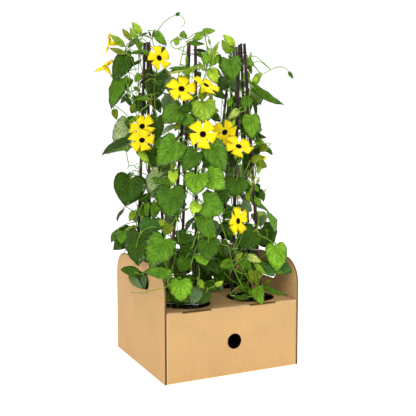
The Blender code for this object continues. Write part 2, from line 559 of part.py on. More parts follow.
def canes_middle(plant, height):
    total = Vector((0, 0, 0))
    for cane in range(3):
        total += cane_at(plant, cane, height)
    return total / 3


def twine(plant, cane):
    """The stem's points round its cane; it passes inside the hoops at their heights."""
    points = []
    turn_start = HOOP_LOW_Z
    height = SOIL_TOP + 0.004
    while height <= TWINE_TOP:
        middle = cane_at(plant, cane, height)
        inward = canes_middle(plant, turn_start) - cane_at(plant, cane, turn_start)
        start = math.atan2(inward.y, inward.x)
        angle = start + 2 * math.pi * (height - turn_start) / TWINE_PITCH
        points.append(middle + TWINE_RADIUS * Vector((math.cos(angle), math.sin(angle), 0)))
        height += TWINE_PITCH / TWINE_STEPS
    points.insert(0, Vector((points[0].x, points[0].y, STEM_FOOT_Z)))
    return points


def shoot_name(plant, cane):
    return f"shoot_{plant}_{cane + 1}"


def ring_points(plant, height, clearance):
    """A wire's path round the three canes of a plant."""
    middle = canes_middle(plant, height)
    canes = sorted(
        (cane_at(plant, cane, height) for cane in range(3)),
        key=lambda place: math.atan2(place.y - middle.y, place.x - middle.x),
    )
    points = []
    for index, place in enumerate(canes):
        before = place - canes[index - 1]
        after = canes[(index + 1) % 3] - place
        start = math.atan2(before.y, before.x) - math.pi / 2
        stop = math.atan2(after.y, after.x) - math.pi / 2
        while stop < start:
            stop += 2 * math.pi
        for step in range(4):
            angle = start + (stop - start) * step / 3
            points.append(place + clearance * Vector((math.cos(angle), math.sin(angle), 0)))
    return points


def make_pots_and_canes():
    pot_floor = BOARD + GAP
    for plant, facts in PLANTS.items():
        x = facts["pot"][0] * CM
        y = facts["pot"][1] * CM
        profile = (
            (0.0, POT_WALL), (POT_FOOT_RADIUS - POT_WALL, POT_WALL),
            (POT_RIM_RADIUS - 2 * POT_WALL, POT_HEIGHT), (POT_RIM_RADIUS, POT_HEIGHT),
            (POT_RIM_RADIUS, POT_HEIGHT - 0.010), (POT_RIM_RADIUS - POT_WALL, POT_HEIGHT - 0.010),
            (POT_FOOT_RADIUS, 0.0), (0.0, 0.0),
        )
        turned(f"pot_{plant}", profile, (x, y, pot_floor), COLOURS["pot"], 0.5)
        soil_low = pot_floor + POT_WALL + GAP
        slope = (POT_RIM_RADIUS - POT_WALL - POT_FOOT_RADIUS) / (POT_HEIGHT - POT_WALL)
        soil_foot = POT_FOOT_RADIUS - POT_WALL - 2 * GAP
        soil_rim = soil_foot + slope * (SOIL_TOP - soil_low)
        profile = (
            (0.0, SOIL_TOP), (soil_rim * 0.6, SOIL_TOP), (soil_rim, SOIL_TOP - 0.004),
            (soil_foot, soil_low), (0.0, soil_low),
        )
        soil = turned(f"soil_{plant}", profile, (x, y, 0.0), COLOURS["soil"], 0.95)
        for cane in range(3):
            foot = cane_at(plant, cane, CANE_FOOT_Z)
            head = cane_at(plant, cane, facts["top"] + 0.002 * cane)
            rod = cylinder_mesh(foot, head, CANE_RADIUS, 8)
            add_object(f"cane_{plant}_{cane + 1}", rod, PARTS, COLOURS["cane"], 0.5)
            below = cane_at(plant, cane, CANE_FOOT_Z - GAP)
            above = cane_at(plant, cane, SOIL_TOP + 0.01)
            bore = cylinder_mesh(below, above, CANE_RADIUS + GAP * 1.5, 8)
            cut(soil, add_object(f"cane_bore_{plant}_{cane + 1}", bore, CUTTERS, None))
            stem = twine(plant, cane)[0]
            bore = cylinder_mesh(
                stem - Vector((0, 0, GAP)), stem + Vector((0, 0, 0.02)), STEM_RADIUS + 2 * GAP, 6,
            )
            cut(soil, add_object(f"stem_bore_{plant}_{cane + 1}", bore, CUTTERS, None))
        reach = CANE_RADIUS + WIRE_RADIUS + 1.5 * GAP
        for name, height in (("hoop_low", HOOP_LOW_Z), ("hoop_high", facts["hoop"])):
            ring = tube_mesh(ring_points(plant, height, reach), WIRE_RADIUS, closed=True, sides_step=0)
            add_object(f"{name}_{plant}", ring, PARTS, COLOURS["wire_white"], 0.5)
        ring = tube_mesh(
            ring_points(plant, facts["top"] - TIE_DROP, reach), WIRE_RADIUS, closed=True, sides_step=0,
        )
        add_object(f"tie_{plant}", ring, PARTS, COLOURS["wire_black"], 0.5)


def face_axis(turn, tilt):
    """The way a flower faces: towards the viewer, turned to the right and tilted upwards."""
    turn = math.radians(turn)
    tilt = math.radians(tilt)
    level = -FORWARD * math.cos(turn) + RIGHT * math.sin(turn)
    return (level * math.cos(tilt) + UP * math.sin(tilt)).normalized()


def flower_mesh(middle, axis, size):
    """A lobed trumpet: one ring is the petals' edge, the others are the throat and the tube."""
    work = bmesh.new()
    bmesh.ops.create_uvsphere(work, u_segments=4 * PETALS, v_segments=4, radius=1.0)
    edge = {0: 0.94, 1: 1.0, 2: 0.52, 3: 1.0}
    scale = min(1.0, size / 0.05)
    turn = axis.to_track_quat("Z", "Y")
    for vert in work.verts:
        level = vert.co.z
        step = round(math.atan2(vert.co.y, vert.co.x) / (2 * math.pi / (4 * PETALS)))
        around = Vector((vert.co.x, vert.co.y, 0.0))
        around = around.normalized() if around.length > 0.01 else Vector((0, 0, 0))
        if level > 0.9:
            place = Vector((0, 0, -0.005 * scale))
        elif level > 0.1:
            place = around * 0.0052 * scale
        elif level > -0.1:
            place = around * (size / 2 * edge[step % 4]) + Vector((0, 0, 0.002 * scale))
        elif level > -0.9:
            place = around * 0.0050 * scale + Vector((0, 0, -0.0065 * scale))
        else:
            place = Vector((0, 0, -FLOWER_TUBE * scale))
        vert.co = middle + turn @ place
    mesh = bpy.data.meshes.new("flower")
    work.to_mesh(mesh)
    work.free()
    return mesh


def calyx_mesh(tip, axis):
    """The closed pair of bracts behind a flower; tip is the end of the flower's tube."""
    work = bmesh.new()
    turn = axis.to_track_quat("Z", "Y").to_matrix().to_4x4()
    place = Matrix.Translation(tip - axis * (CALYX_HALF + GAP)) @ turn
    shape = Matrix.Diagonal((CALYX_RADIUS, CALYX_RADIUS, CALYX_HALF, 1.0))
    bmesh.ops.create_uvsphere(work, u_segments=6, v_segments=4, radius=1.0, matrix=place @ shape)
    mesh = bpy.data.meshes.new("calyx")
    work.to_mesh(mesh)
    work.free()
    return mesh


def leaf_frame(base, tip, rear, roll):
    """A leaf's three directions: along its midrib, across it and out of its upper face."""
    along = tip - base
    facing = FORWARD if rear else -FORWARD
    across = facing.cross(along).normalized()
    across = Matrix.Rotation(math.radians(roll), 3, along.normalized()) @ across
    return along, across, along.cross(across).normalized()


def leaf_point(frame, base, width, x, y):
    """A point of a leaf at x along it (0 to 1) and y across it (in widths)."""
    along, across, out = frame
    lift = LEAF_ARCH * along.length * 4 * x * (1 - x) + LEAF_FOLD * abs(y) * width
    return base + along * x + across * (y * width) + out * lift


def leaf_mesh(base, tip, width, rear, roll):
    """A leaf as a thin lens with a heart-shaped edge."""
    frame = leaf_frame(base, tip, rear, roll)
    work = bmesh.new()
    corners = 2 * (len(LEAF_OUTLINE) - 1)
    bmesh.ops.create_uvsphere(work, u_segments=corners, v_segments=2, radius=1.0)
    for vert in work.verts:
        if abs(vert.co.z) > 0.5:
            side = math.copysign(LEAF_THICKNESS, vert.co.z)
            vert.co = leaf_point(frame, base, width, LEAF_POLE, 0.0) + frame[2] * side
            continue
        step = round(math.atan2(vert.co.x, vert.co.y) / (2 * math.pi / corners))
        x, y = LEAF_OUTLINE[abs(step)]
        vert.co = leaf_point(frame, base, width, x, math.copysign(y, step))
    bmesh.ops.recalc_face_normals(work, faces=work.faces)
    mesh = bpy.data.meshes.new("leaf")
    work.to_mesh(mesh)
    work.free()
    return mesh


def stalk_end(base, tip, width, rear, roll):
    """Where a stalk ends, a short way inside its leaf."""
    frame = leaf_frame(base, tip, rear, roll)
    notch = leaf_point(frame, base, width, LEAF_OUTLINE[0][0], 0.0)
    pole = leaf_point(frame, base, width, LEAF_POLE, 0.0)
    return notch.lerp(pole, STALK_IN_LEAF)


class Obstacles:
    """All that is already in place, so that what comes next can stay clear of it."""

    def __init__(self):
        self.solids = []

    def add(self, owner, mesh):
        self.solids.append((owner, *self.measure(mesh)))

    @staticmethod
    def measure(mesh):
        points = [vert.co.copy() for vert in mesh.vertices]
        faces = [tuple(face.vertices) for face in mesh.polygons]
        tree = BVHTree.FromPolygons(points, faces)
        low = Vector([min(point[axis] for point in points) for axis in range(3)])
        high = Vector([max(point[axis] for point in points) for axis in range(3)])
        return tree, low, high

    def touched_by(self, mesh, besides=()):
        tree, low, high = self.measure(mesh)
        for other, other_tree, other_low, other_high in self.solids:
            if other in besides:
                continue
            if any(low[axis] > other_high[axis] or high[axis] < other_low[axis] for axis in range(3)):
                continue
            if tree.overlap(other_tree):
                return True
        return False


def box_mesh(low, high):
    work = bmesh.new()
    bmesh.ops.create_cube(work, size=1.0)
    low = Vector(low)
    high = Vector(high)
    for vert in work.verts:
        vert.co = Vector([low[a] + (vert.co[a] + 0.5) * (high[a] - low[a]) for a in range(3)])
    mesh = bpy.data.meshes.new("space")
    work.to_mesh(mesh)
    work.free()
    return mesh


def free_spaces():
    low_y, high_y = HAND_HOLE_SPACE_Y
    low_z, high_z = HAND_HOLE_SPACE_Z
    near, far = HAND_HOLE_REACH
    yield (near, low_y, low_z), (far, high_y, high_z)
    yield (-far, low_y, low_z), (-near, high_y, high_z)


def joints_near(plant, base, stems, uses):
    """Places on a plant's stems, the best one for a stalk that ends at base first."""
    found = []
    for (owner, cane), chains in stems.items():
        if owner != plant:
            continue
        for chain in chains:
            for place in chain[2:]:
                cost = (place - base).length + JOINT_ABOVE_COST * max(0.0, place.z - base.z)
                cost += JOINT_SHARED_COST * uses.get(tuple(place), 0)
                found.append((cost, shoot_name(plant, cane), place))
    found.sort(key=lambda row: row[0])
    return found


def place_leaf(row, rear, stems, uses, solids):
    """The first way of placing a leaf and its stalk that touches nothing else."""
    plant, base_across, base_up, tip_across, tip_up, width, depth, dive, roll = row
    back = PLANTS[plant]["depth"] + depth
    for own_leaves_too in (True, False):
        for turn in ROLLS:
            for nudge in NUDGES:
                base = seen_at(base_across, base_up, back + nudge)
                tip = seen_at(tip_across, tip_up, back + nudge + dive)
                leaf = leaf_mesh(base, tip, width * CM, rear, roll + turn)
                for _, owner, joint in joints_near(plant, base, stems, uses)[:JOINTS_TRIED]:
                    own = (owner,) if own_leaves_too else (owner, owner + LEAF_MARK)
                    if solids.touched_by(leaf, own):
                        continue
                    end = stalk_end(base, tip, width * CM, rear, roll + turn)
                    stalk = cylinder_mesh(joint, end, PETIOLE_RADIUS, STALK_SIDES)
                    if solids.touched_by(stalk, own):
                        continue
                    uses[tuple(joint)] = uses.get(tuple(joint), 0) + 1
                    return owner, (leaf, stalk)
    return None, ()


def rear_row(index, row):
    """The leaf behind a large leaf of the front view, on the plant that stands there."""
    plant, base_across, base_up, tip_across, tip_up, width, depth, dive, roll = row
    middle_across = (base_across + tip_across) / 2
    middle_up = (base_up + tip_up) / 2
    if middle_across < -9.0:
        plant = "back_left"
    elif middle_across < 8.5:
        plant = "back_right"
    else:
        plant = "front_right" if index % 2 else "back_right"
    sway = REAR_SWAY * math.sin(2.4 * index)
    return (
        plant,
        middle_across + (base_across - middle_across) * REAR_SCALE,
        middle_up + (base_up - middle_up) * REAR_SCALE,
        middle_across + (tip_across - middle_across) * REAR_SCALE,
        middle_up + (tip_up - middle_up) * REAR_SCALE,
        width * REAR_SCALE, REAR_DEPTH + sway, 1.2 * math.cos(1.7 * index), 22 * math.sin(1.3 * index),
    )


def join_shoot(name, trunk, pieces):
    """One grown body of a stem and all that it carries."""
    body = add_object(name, trunk, PARTS, COLOURS["plant"])
    group = bpy.data.collections.new(name + "_pieces")
    CUTTERS.children.link(group)
    for index, mesh in enumerate(pieces):
        held = bpy.data.objects.new(f"{name}_piece_{index}", mesh)
        group.objects.link(hide_cutter(held))
    modifier = body.modifiers.new("grown", "BOOLEAN")
    modifier.operation = "UNION"
    modifier.solver = "EXACT"
    modifier.operand_type = "COLLECTION"
    modifier.collection = group
    tidy = body.modifiers.new("merge flat faces", "DECIMATE")
    tidy.decimate_type = "DISSOLVE"
    tidy.angle_limit = math.radians(FLAT_ANGLE)


def make_plants():
    solids = Obstacles()
    for piece in PARTS.objects:
        graph = bpy.context.evaluated_depsgraph_get()
        mesh = bpy.data.meshes.new_from_object(piece.evaluated_get(graph))
        mesh.transform(piece.matrix_world)
        solids.add(piece.name, mesh)
    for low, high in free_spaces():
        solids.add("free_space", box_mesh(low, high))

    stems = {}
    uses = {}
    trunks = {}
    carried = {}
    for plant, facts in PLANTS.items():
        for cane in range(3):
            points = twine(plant, cane)
            taper = [1.0] * len(points)
            for across, up, depth in CROWNS[plant, cane]:
                points.append(seen_at(across, up, facts["depth"] + depth))
                taper.append(0.62)
            name = shoot_name(plant, cane)
            stems[plant, cane] = [points]
            trunks[name] = tube_mesh(points, STEM_RADIUS, sides_step=0, taper=taper)
            carried[name] = []
            solids.add(name, trunks[name])
    for plant, cane, height, route in SIDE_SHOOTS:
        joint = min(stems[plant, cane][0][1:-4], key=lambda place: abs(place.z - height * CM))
        points = [joint] + [seen_at(a, u, PLANTS[plant]["depth"] + d) for a, u, d in route]
        mesh = tube_mesh(points, STEM_RADIUS * 0.62, sides_step=0)
        name = shoot_name(plant, cane)
        stems[plant, cane].append([joint, joint] + points[1:])
        carried[name].append(mesh)
        solids.add(name, mesh)

    for name, plant, across, up, depth, size, turn, tilt in FLOWERS:
        axis = face_axis(turn, tilt)
        for nudge in NUDGES:
            middle = seen_at(across, up, PLANTS[plant]["depth"] + depth + nudge)
            flower = flower_mesh(middle, axis, size * CM)
            tube_end = middle - axis * FLOWER_TUBE * min(1.0, size * CM / 0.05)
            calyx = calyx_mesh(tube_end, axis)
            heel = tube_end - axis * (2 * CALYX_HALF + GAP)
            _, owner, joint = joints_near(plant, heel, stems, uses)[0]
            stalk = cylinder_mesh(joint, heel + axis * CALYX_HALF, PETIOLE_RADIUS, STALK_SIDES)
            if solids.touched_by(flower):
                continue
            if solids.touched_by(calyx, (owner,)) or solids.touched_by(stalk, (owner,)):
                continue
            break
        else:
            print("no clear place for", name)
        add_object(name, flower, PARTS, COLOURS["flower"], 0.6)
        solids.add(name, flower)
        uses[tuple(joint)] = uses.get(tuple(joint), 0) + 1
        for mesh in (calyx, stalk):
            carried[owner].append(mesh)
            solids.add(owner + LEAF_MARK, mesh)

    rows = [(row, False) for row in LEAVES]
    rows += [(rear_row(i, row), True) for i, row in enumerate(LEAVES) if row[5] >= REAR_SMALLEST_WIDTH]
    left_out = 0
    for row, rear in rows:
        owner, pieces = place_leaf(row, rear, stems, uses, solids)
        left_out += owner is None
        for mesh in pieces:
            carried[owner].append(mesh)
            solids.add(owner + LEAF_MARK, mesh)
    print("leaves placed", len(rows) - left_out, "left out", left_out)

    for name, trunk in trunks.items():
        join_shoot(name, trunk, carried[name])


clear_scene()
PARTS = new_collection("black_eyed_susan_vines")
CUTTERS = new_collection("cutters")
make_carrier()
make_pots_and_canes()
make_plants()
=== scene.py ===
"""Black-eyed Susan vines twined up bamboo canes, in a kraft board carrier: the looks round the fixed frame.

Metres, +Z up. Leaves, flowers and free shoots are placed in the front view: across and up are measured
in a plane through the middle of the plants, as seen from a point in front and to the left, and depth
runs away from that point. Each one is set down where the frame holds it.
"""

import math

import bpy
from mathutils import Matrix, Vector, noise
from mathutils.kdtree import KDTree


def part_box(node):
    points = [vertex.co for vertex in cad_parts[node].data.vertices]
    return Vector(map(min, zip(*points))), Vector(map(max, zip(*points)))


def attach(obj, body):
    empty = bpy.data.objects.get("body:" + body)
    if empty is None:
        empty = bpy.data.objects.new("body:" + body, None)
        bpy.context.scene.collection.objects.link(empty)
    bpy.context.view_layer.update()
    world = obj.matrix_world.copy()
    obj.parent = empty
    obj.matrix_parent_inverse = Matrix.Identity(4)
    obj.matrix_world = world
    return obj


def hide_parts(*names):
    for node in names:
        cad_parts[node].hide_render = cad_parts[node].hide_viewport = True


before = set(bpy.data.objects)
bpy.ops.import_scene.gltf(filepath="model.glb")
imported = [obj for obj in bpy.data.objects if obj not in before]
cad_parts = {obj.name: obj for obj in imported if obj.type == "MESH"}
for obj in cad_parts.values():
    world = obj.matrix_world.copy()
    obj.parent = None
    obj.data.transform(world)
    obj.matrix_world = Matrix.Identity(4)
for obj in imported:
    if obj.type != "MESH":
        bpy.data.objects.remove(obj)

bl_info = {
    "name": "Black-eyed Susan vines in a carrier",
    "version": (1, 0, 0),
    "blender": (4, 5, 0),
    "location": "3D View > Sidebar > Vines",
    "description": "Builds potted climbing vines on bamboo canes in a kraft board carrier",
    "category": "Add Mesh",
}

CM = 0.01
MM = 0.001
GAP = 0.0003

# Carrier
CARRIER_X = 0.300
CARRIER_Y = 0.288
DECK_Z = 0.138
END_Z = 0.223
END_ROUND = 0.050
HAND_HOLE_LENGTH = 0.125
HAND_HOLE_ROUND = 0.0165
HAND_HOLE_Y = 0.0025
HAND_HOLE_Z = 0.1835
FINGER_HOLE_RADIUS = 0.0155
FINGER_HOLE_Z = 0.068
PLANT_HOLE_RADIUS = 0.051
TAB_SLOTS_X = (-0.0815, 0.0655)
TAB_SLOT_LENGTH = 0.062
TAB_SLOT_WIDTH = 0.0035
TAB_NOTCH = 0.0021
SCORE_Z = 0.168
FOLD_RADIUS = 0.0024
FLUTE_PITCH = 0.007
EDGE_MARGIN = 0.0002
# How finely the carrier is rounded: steps of a fold, an end panel's corner, a hand hole's end and an
# edge's wear, and sides of the finger hole and of a plant hole
FOLD_STEPS = 5
END_STEPS = 16
HAND_HOLE_STEPS = 12
WEAR_STEPS = 2
FINGER_HOLE_SIDES = 64
PLANT_HOLE_SIDES = 72
WORN_ANGLE = math.radians(40)
SMOOTH_ANGLE = math.radians(30)

# Pots, canes, wires and stems
POT_RIM_RADIUS = 0.062
POT_FOOT_RADIUS = 0.052
POT_HEIGHT = 0.124
POT_WALL = 0.0015
POT_FOOT_ROUND = 0.003
POT_LIP = 0.009
POT_LIP_STEP = 0.0026
POT_EDGE = 0.0006
POT_SIDES = 48
POT_SMOOTH_ANGLE = math.radians(35)
SOIL_TOP = 0.121
SOIL_DISH = 0.004
SOIL_TAPER = 0.93
SOIL_RINGS = 14
# Crumbs: height (m) and how many fit in a metre, small ones and large ones
CRUMBS = ((0.0011, 420), (0.0012, 130))
CANE_FOOT_Z = 0.060
CANE_STEP = 0.02
# A cane is as thick as this at its foot and loses as much towards its top, as parts of its radius; a
# knot is a ring that stands out and a groove above it that goes in, also as parts of the radius
CANE_FOOT_SHARE = 1.04
CANE_TAPER = 0.10
KNOT_SPACING = 0.148
KNOT_RING = 0.17
KNOT_RING_WIDTH = 0.0016
KNOT_GROOVE = 0.05
KNOT_GROOVE_WIDTH = 0.002
KNOT_GROOVE_ABOVE = 0.0035
KNOT_CLEARANCE = 0.009
KNOT_STEPS_MM = (-6, -3, -2, -1, 0, 1, 2, 4, 7)
CANE_LEVELS = (0.130, 0.660)
HOOP_LOW_Z = 0.143
TIE_DROP = 0.022
WIRE_GAP = 0.0004
TWIST_STEPS = 10
TWIST_RADIUS = 0.0009
TWIST_TURN = 1.3
TWINE_RADIUS = 0.0062
TWINE_PITCH = 0.100
TWINE_STEPS = 6
TWINE_TOP = 0.495
STEM_FOOT_Z = 0.112

# The point that the front view is seen from, its turn and dip, and the plane that it is measured in
VIEW_POINT = Vector((-0.619, -1.308, 0.448))
VIEW_TURN = math.radians(25.7)
VIEW_DIP = math.radians(4.9)
VIEW_REACH = 1.45
VIEW_MID_UP = 0.33
LENS_MM = 58.24
SENSOR_MM = 36.0

# Each plant: the pot's place, its depth in the front view, the canes' feet and heads from the pot's
# middle (cm, at the two levels above), the cane length above ground and the upper hoop's height
PLANTS = {
    "front_left": {
        "pot": (-7.5, -7.2), "depth": -9.7, "top": 0.660, "hoop": 0.243,
        "canes": (((-4.0, -0.2), (1.0, 0.3)), ((0.6, -4.0), (2.1, -0.5)), ((0.6, 4.0), (1.5, 1.1))),
    },
    "front_right": {
        "pot": (7.5, -7.2), "depth": -3.2, "top": 0.665, "hoop": 0.243,
        "canes": (((-3.9, 0.8), (-2.3, 0.9)), ((0.4, -4.0), (-1.4, 0.3)), ((2.1, 3.4), (-1.5, 1.6))),
    },
    "back_left": {
        "pot": (-8.1, 7.2), "depth": 3.2, "top": 0.677, "hoop": 0.343,
        "canes": (((-4.3, 1.2), (-2.6, -0.3)), ((1.1, -4.0), (-1.4, -0.2)), ((0.0, 4.1), (-1.3, 1.2))),
    },
    "back_right": {
        "pot": (7.5, 7.2), "depth": 9.7, "top": 0.680, "hoop": 0.243,
        "canes": (((-1.8, -3.6), (2.7, -1.5)), ((3.9, 0.8), (4.0, -0.4)), ((-2.2, 3.4), (2.8, 0.2))),
    },
}

# Free ends above the twining: plant, cane, then points across, up and deeper than the pot (cm)
CROWNS = {
    ("back_left", 0): ((-15.0, 58.5, -1.6), (-15.0, 63.0, -1.8), (-14.9, 67.0, -1.6), (-14.6, 70.4, -1.4)),
    ("back_left", 1): ((-11.6, 57.5, -4.4), (-11.4, 61.5, -4.6), (-11.6, 65.0, -4.8)),
    ("back_left", 2): (
        (-11.2, 58.5, 2.6), (-11.0, 63.0, 2.8), (-11.4, 67.0, 2.6), (-12.0, 69.4, 1.6), (-11.0, 71.0, 0.8),
        (-10.0, 72.4, 0.2), (-9.0, 73.4, -0.2), (-8.0, 74.1, -0.5), (-7.0, 74.5, -0.8), (-5.7, 74.3, -1.0),
        (-5.0, 73.0, -1.0), (-5.8, 71.8, -0.8),
    ),
    ("front_left", 0): (
        (-6.4, 59.5, -1.6), (-6.0, 64.0, -2.0), (-5.2, 67.6, -2.2), (-6.5, 67.3, -2.2), (-7.5, 67.6, -2.0),
        (-8.1, 68.5, -1.8), (-7.6, 69.2, -1.6), (-6.6, 69.5, -1.4), (-4.4, 69.5, -1.6), (-2.7, 70.7, -1.6),
        (-0.6, 70.7, -1.4),
    ),
    ("front_left", 1): ((-1.2, 58.5, -1.4), (-0.5, 62.5, -1.0), (0.1, 65.5, -0.6), (-0.7, 70.2, -0.4)),
    ("front_left", 2): ((-3.6, 58.5, 2.8), (-3.4, 62.0, 3.2)),
    ("front_right", 0): ((4.6, 59.5, -1.0), (4.8, 64.0, -1.0), (5.3, 67.6, -0.8)),
    ("front_right", 1): (
        (8.8, 56.8, -3.8), (9.8, 59.4, -2.8), (11.6, 61.6, -1.0), (13.5, 62.8, -0.6), (15.2, 63.4, -0.4),
        (16.5, 63.2, -0.2), (17.4, 62.4, 0.0), (18.1, 61.0, 0.0),
    ),
    ("front_right", 2): ((8.2, 58.5, 2.8), (7.8, 62.5, 3.2), (7.6, 64.8, 3.2)),
    ("back_right", 0): ((2.6, 58.5, -3.0), (2.2, 62.0, -3.2)),
    ("back_right", 1): ((7.0, 58.5, 1.6), (7.2, 63.0, 1.8)),
    ("back_right", 2): ((3.2, 58.5, 3.0), (3.4, 63.0, 3.0)),
}

# Side shoots: plant, cane, height of the joint (cm), then points as above
SIDE_SHOOTS = (
    ("back_left", 0, 56.0, ((-16.8, 60.5, -2.0), (-17.2, 64.0, -2.0), (-18.0, 66.4, -1.8))),
    ("back_left", 0, 42.0, (
        (-15.2, 41.5, -3.0), (-16.0, 42.2, -3.4), (-17.0, 42.0, -3.4), (-17.4, 41.4, -3.2),
    )),
    ("front_left", 0, 27.0, (
        (-10.6, 28.6, -1.4), (-12.6, 28.8, -0.9), (-14.4, 27.6, -0.3), (-15.4, 25.0, -1.3),
        (-15.8, 21.5, -1.0), (-15.7, 19.4, -0.8), (-14.6, 18.7, -1.2),
    )),
    ("front_left", 0, 21.8, (
        (-8.0, 17.0, -6.0), (-8.6, 16.3, -8.6), (-9.8, 15.7, -9.2), (-12.5, 15.1, -7.6),
        (-13.8, 14.7, -6.8), (-16.7, 14.8, -5.8),
    )),
    ("front_right", 0, 31.0, ((3.4, 30.2, -3.6), (2.2, 31.2, -4.0))),
    ("front_right", 1, 27.0, ((11.0, 27.3, -2.6), (12.6, 26.5, -2.6), (14.4, 25.3, -2.8))),
)

# Flowers: name, plant, middle across and up, deeper than the pot, size across (cm), turn to the
# right and tilt upwards of the face (degrees)
FLOWERS = (
    ("flower_top_left", "back_left", -10.5, 65.3, -4.8, 5.3, 32, 4),
    ("flower_upper_left", "front_left", -5.7, 58.7, -4.2, 5.8, 6, 20),
    ("flower_upper_middle", "front_left", -0.4, 59.5, -4.2, 5.6, 40, 44),
    ("flower_left_upper", "back_left", -14.2, 50.6, -5.6, 5.6, -10, 14),
    ("flower_left_lower", "back_left", -14.2, 47.6, -6.8, 5.6, 0, 24),
    ("flower_middle", "front_left", -1.1, 48.9, -6.6, 5.7, 0, 4),
    ("flower_middle_right", "front_right", 3.6, 49.3, -3.4, 5.6, -24, 12),
    ("flower_right", "front_right", 6.6, 46.3, -5.6, 6.0, 12, 40),
    ("flower_low_right", "front_right", 6.5, 30.2, -5.4, 5.9, 48, 0),
    ("flower_side_upper", "back_left", -21.4, 68.6, -1.6, 4.6, -76, 8),
    ("flower_side_lower", "back_left", -22.3, 63.6, -2.2, 5.0, -56, 48),
    ("bud_right", "front_right", 12.0, 43.8, -1.2, 1.5, 82, 10),
)

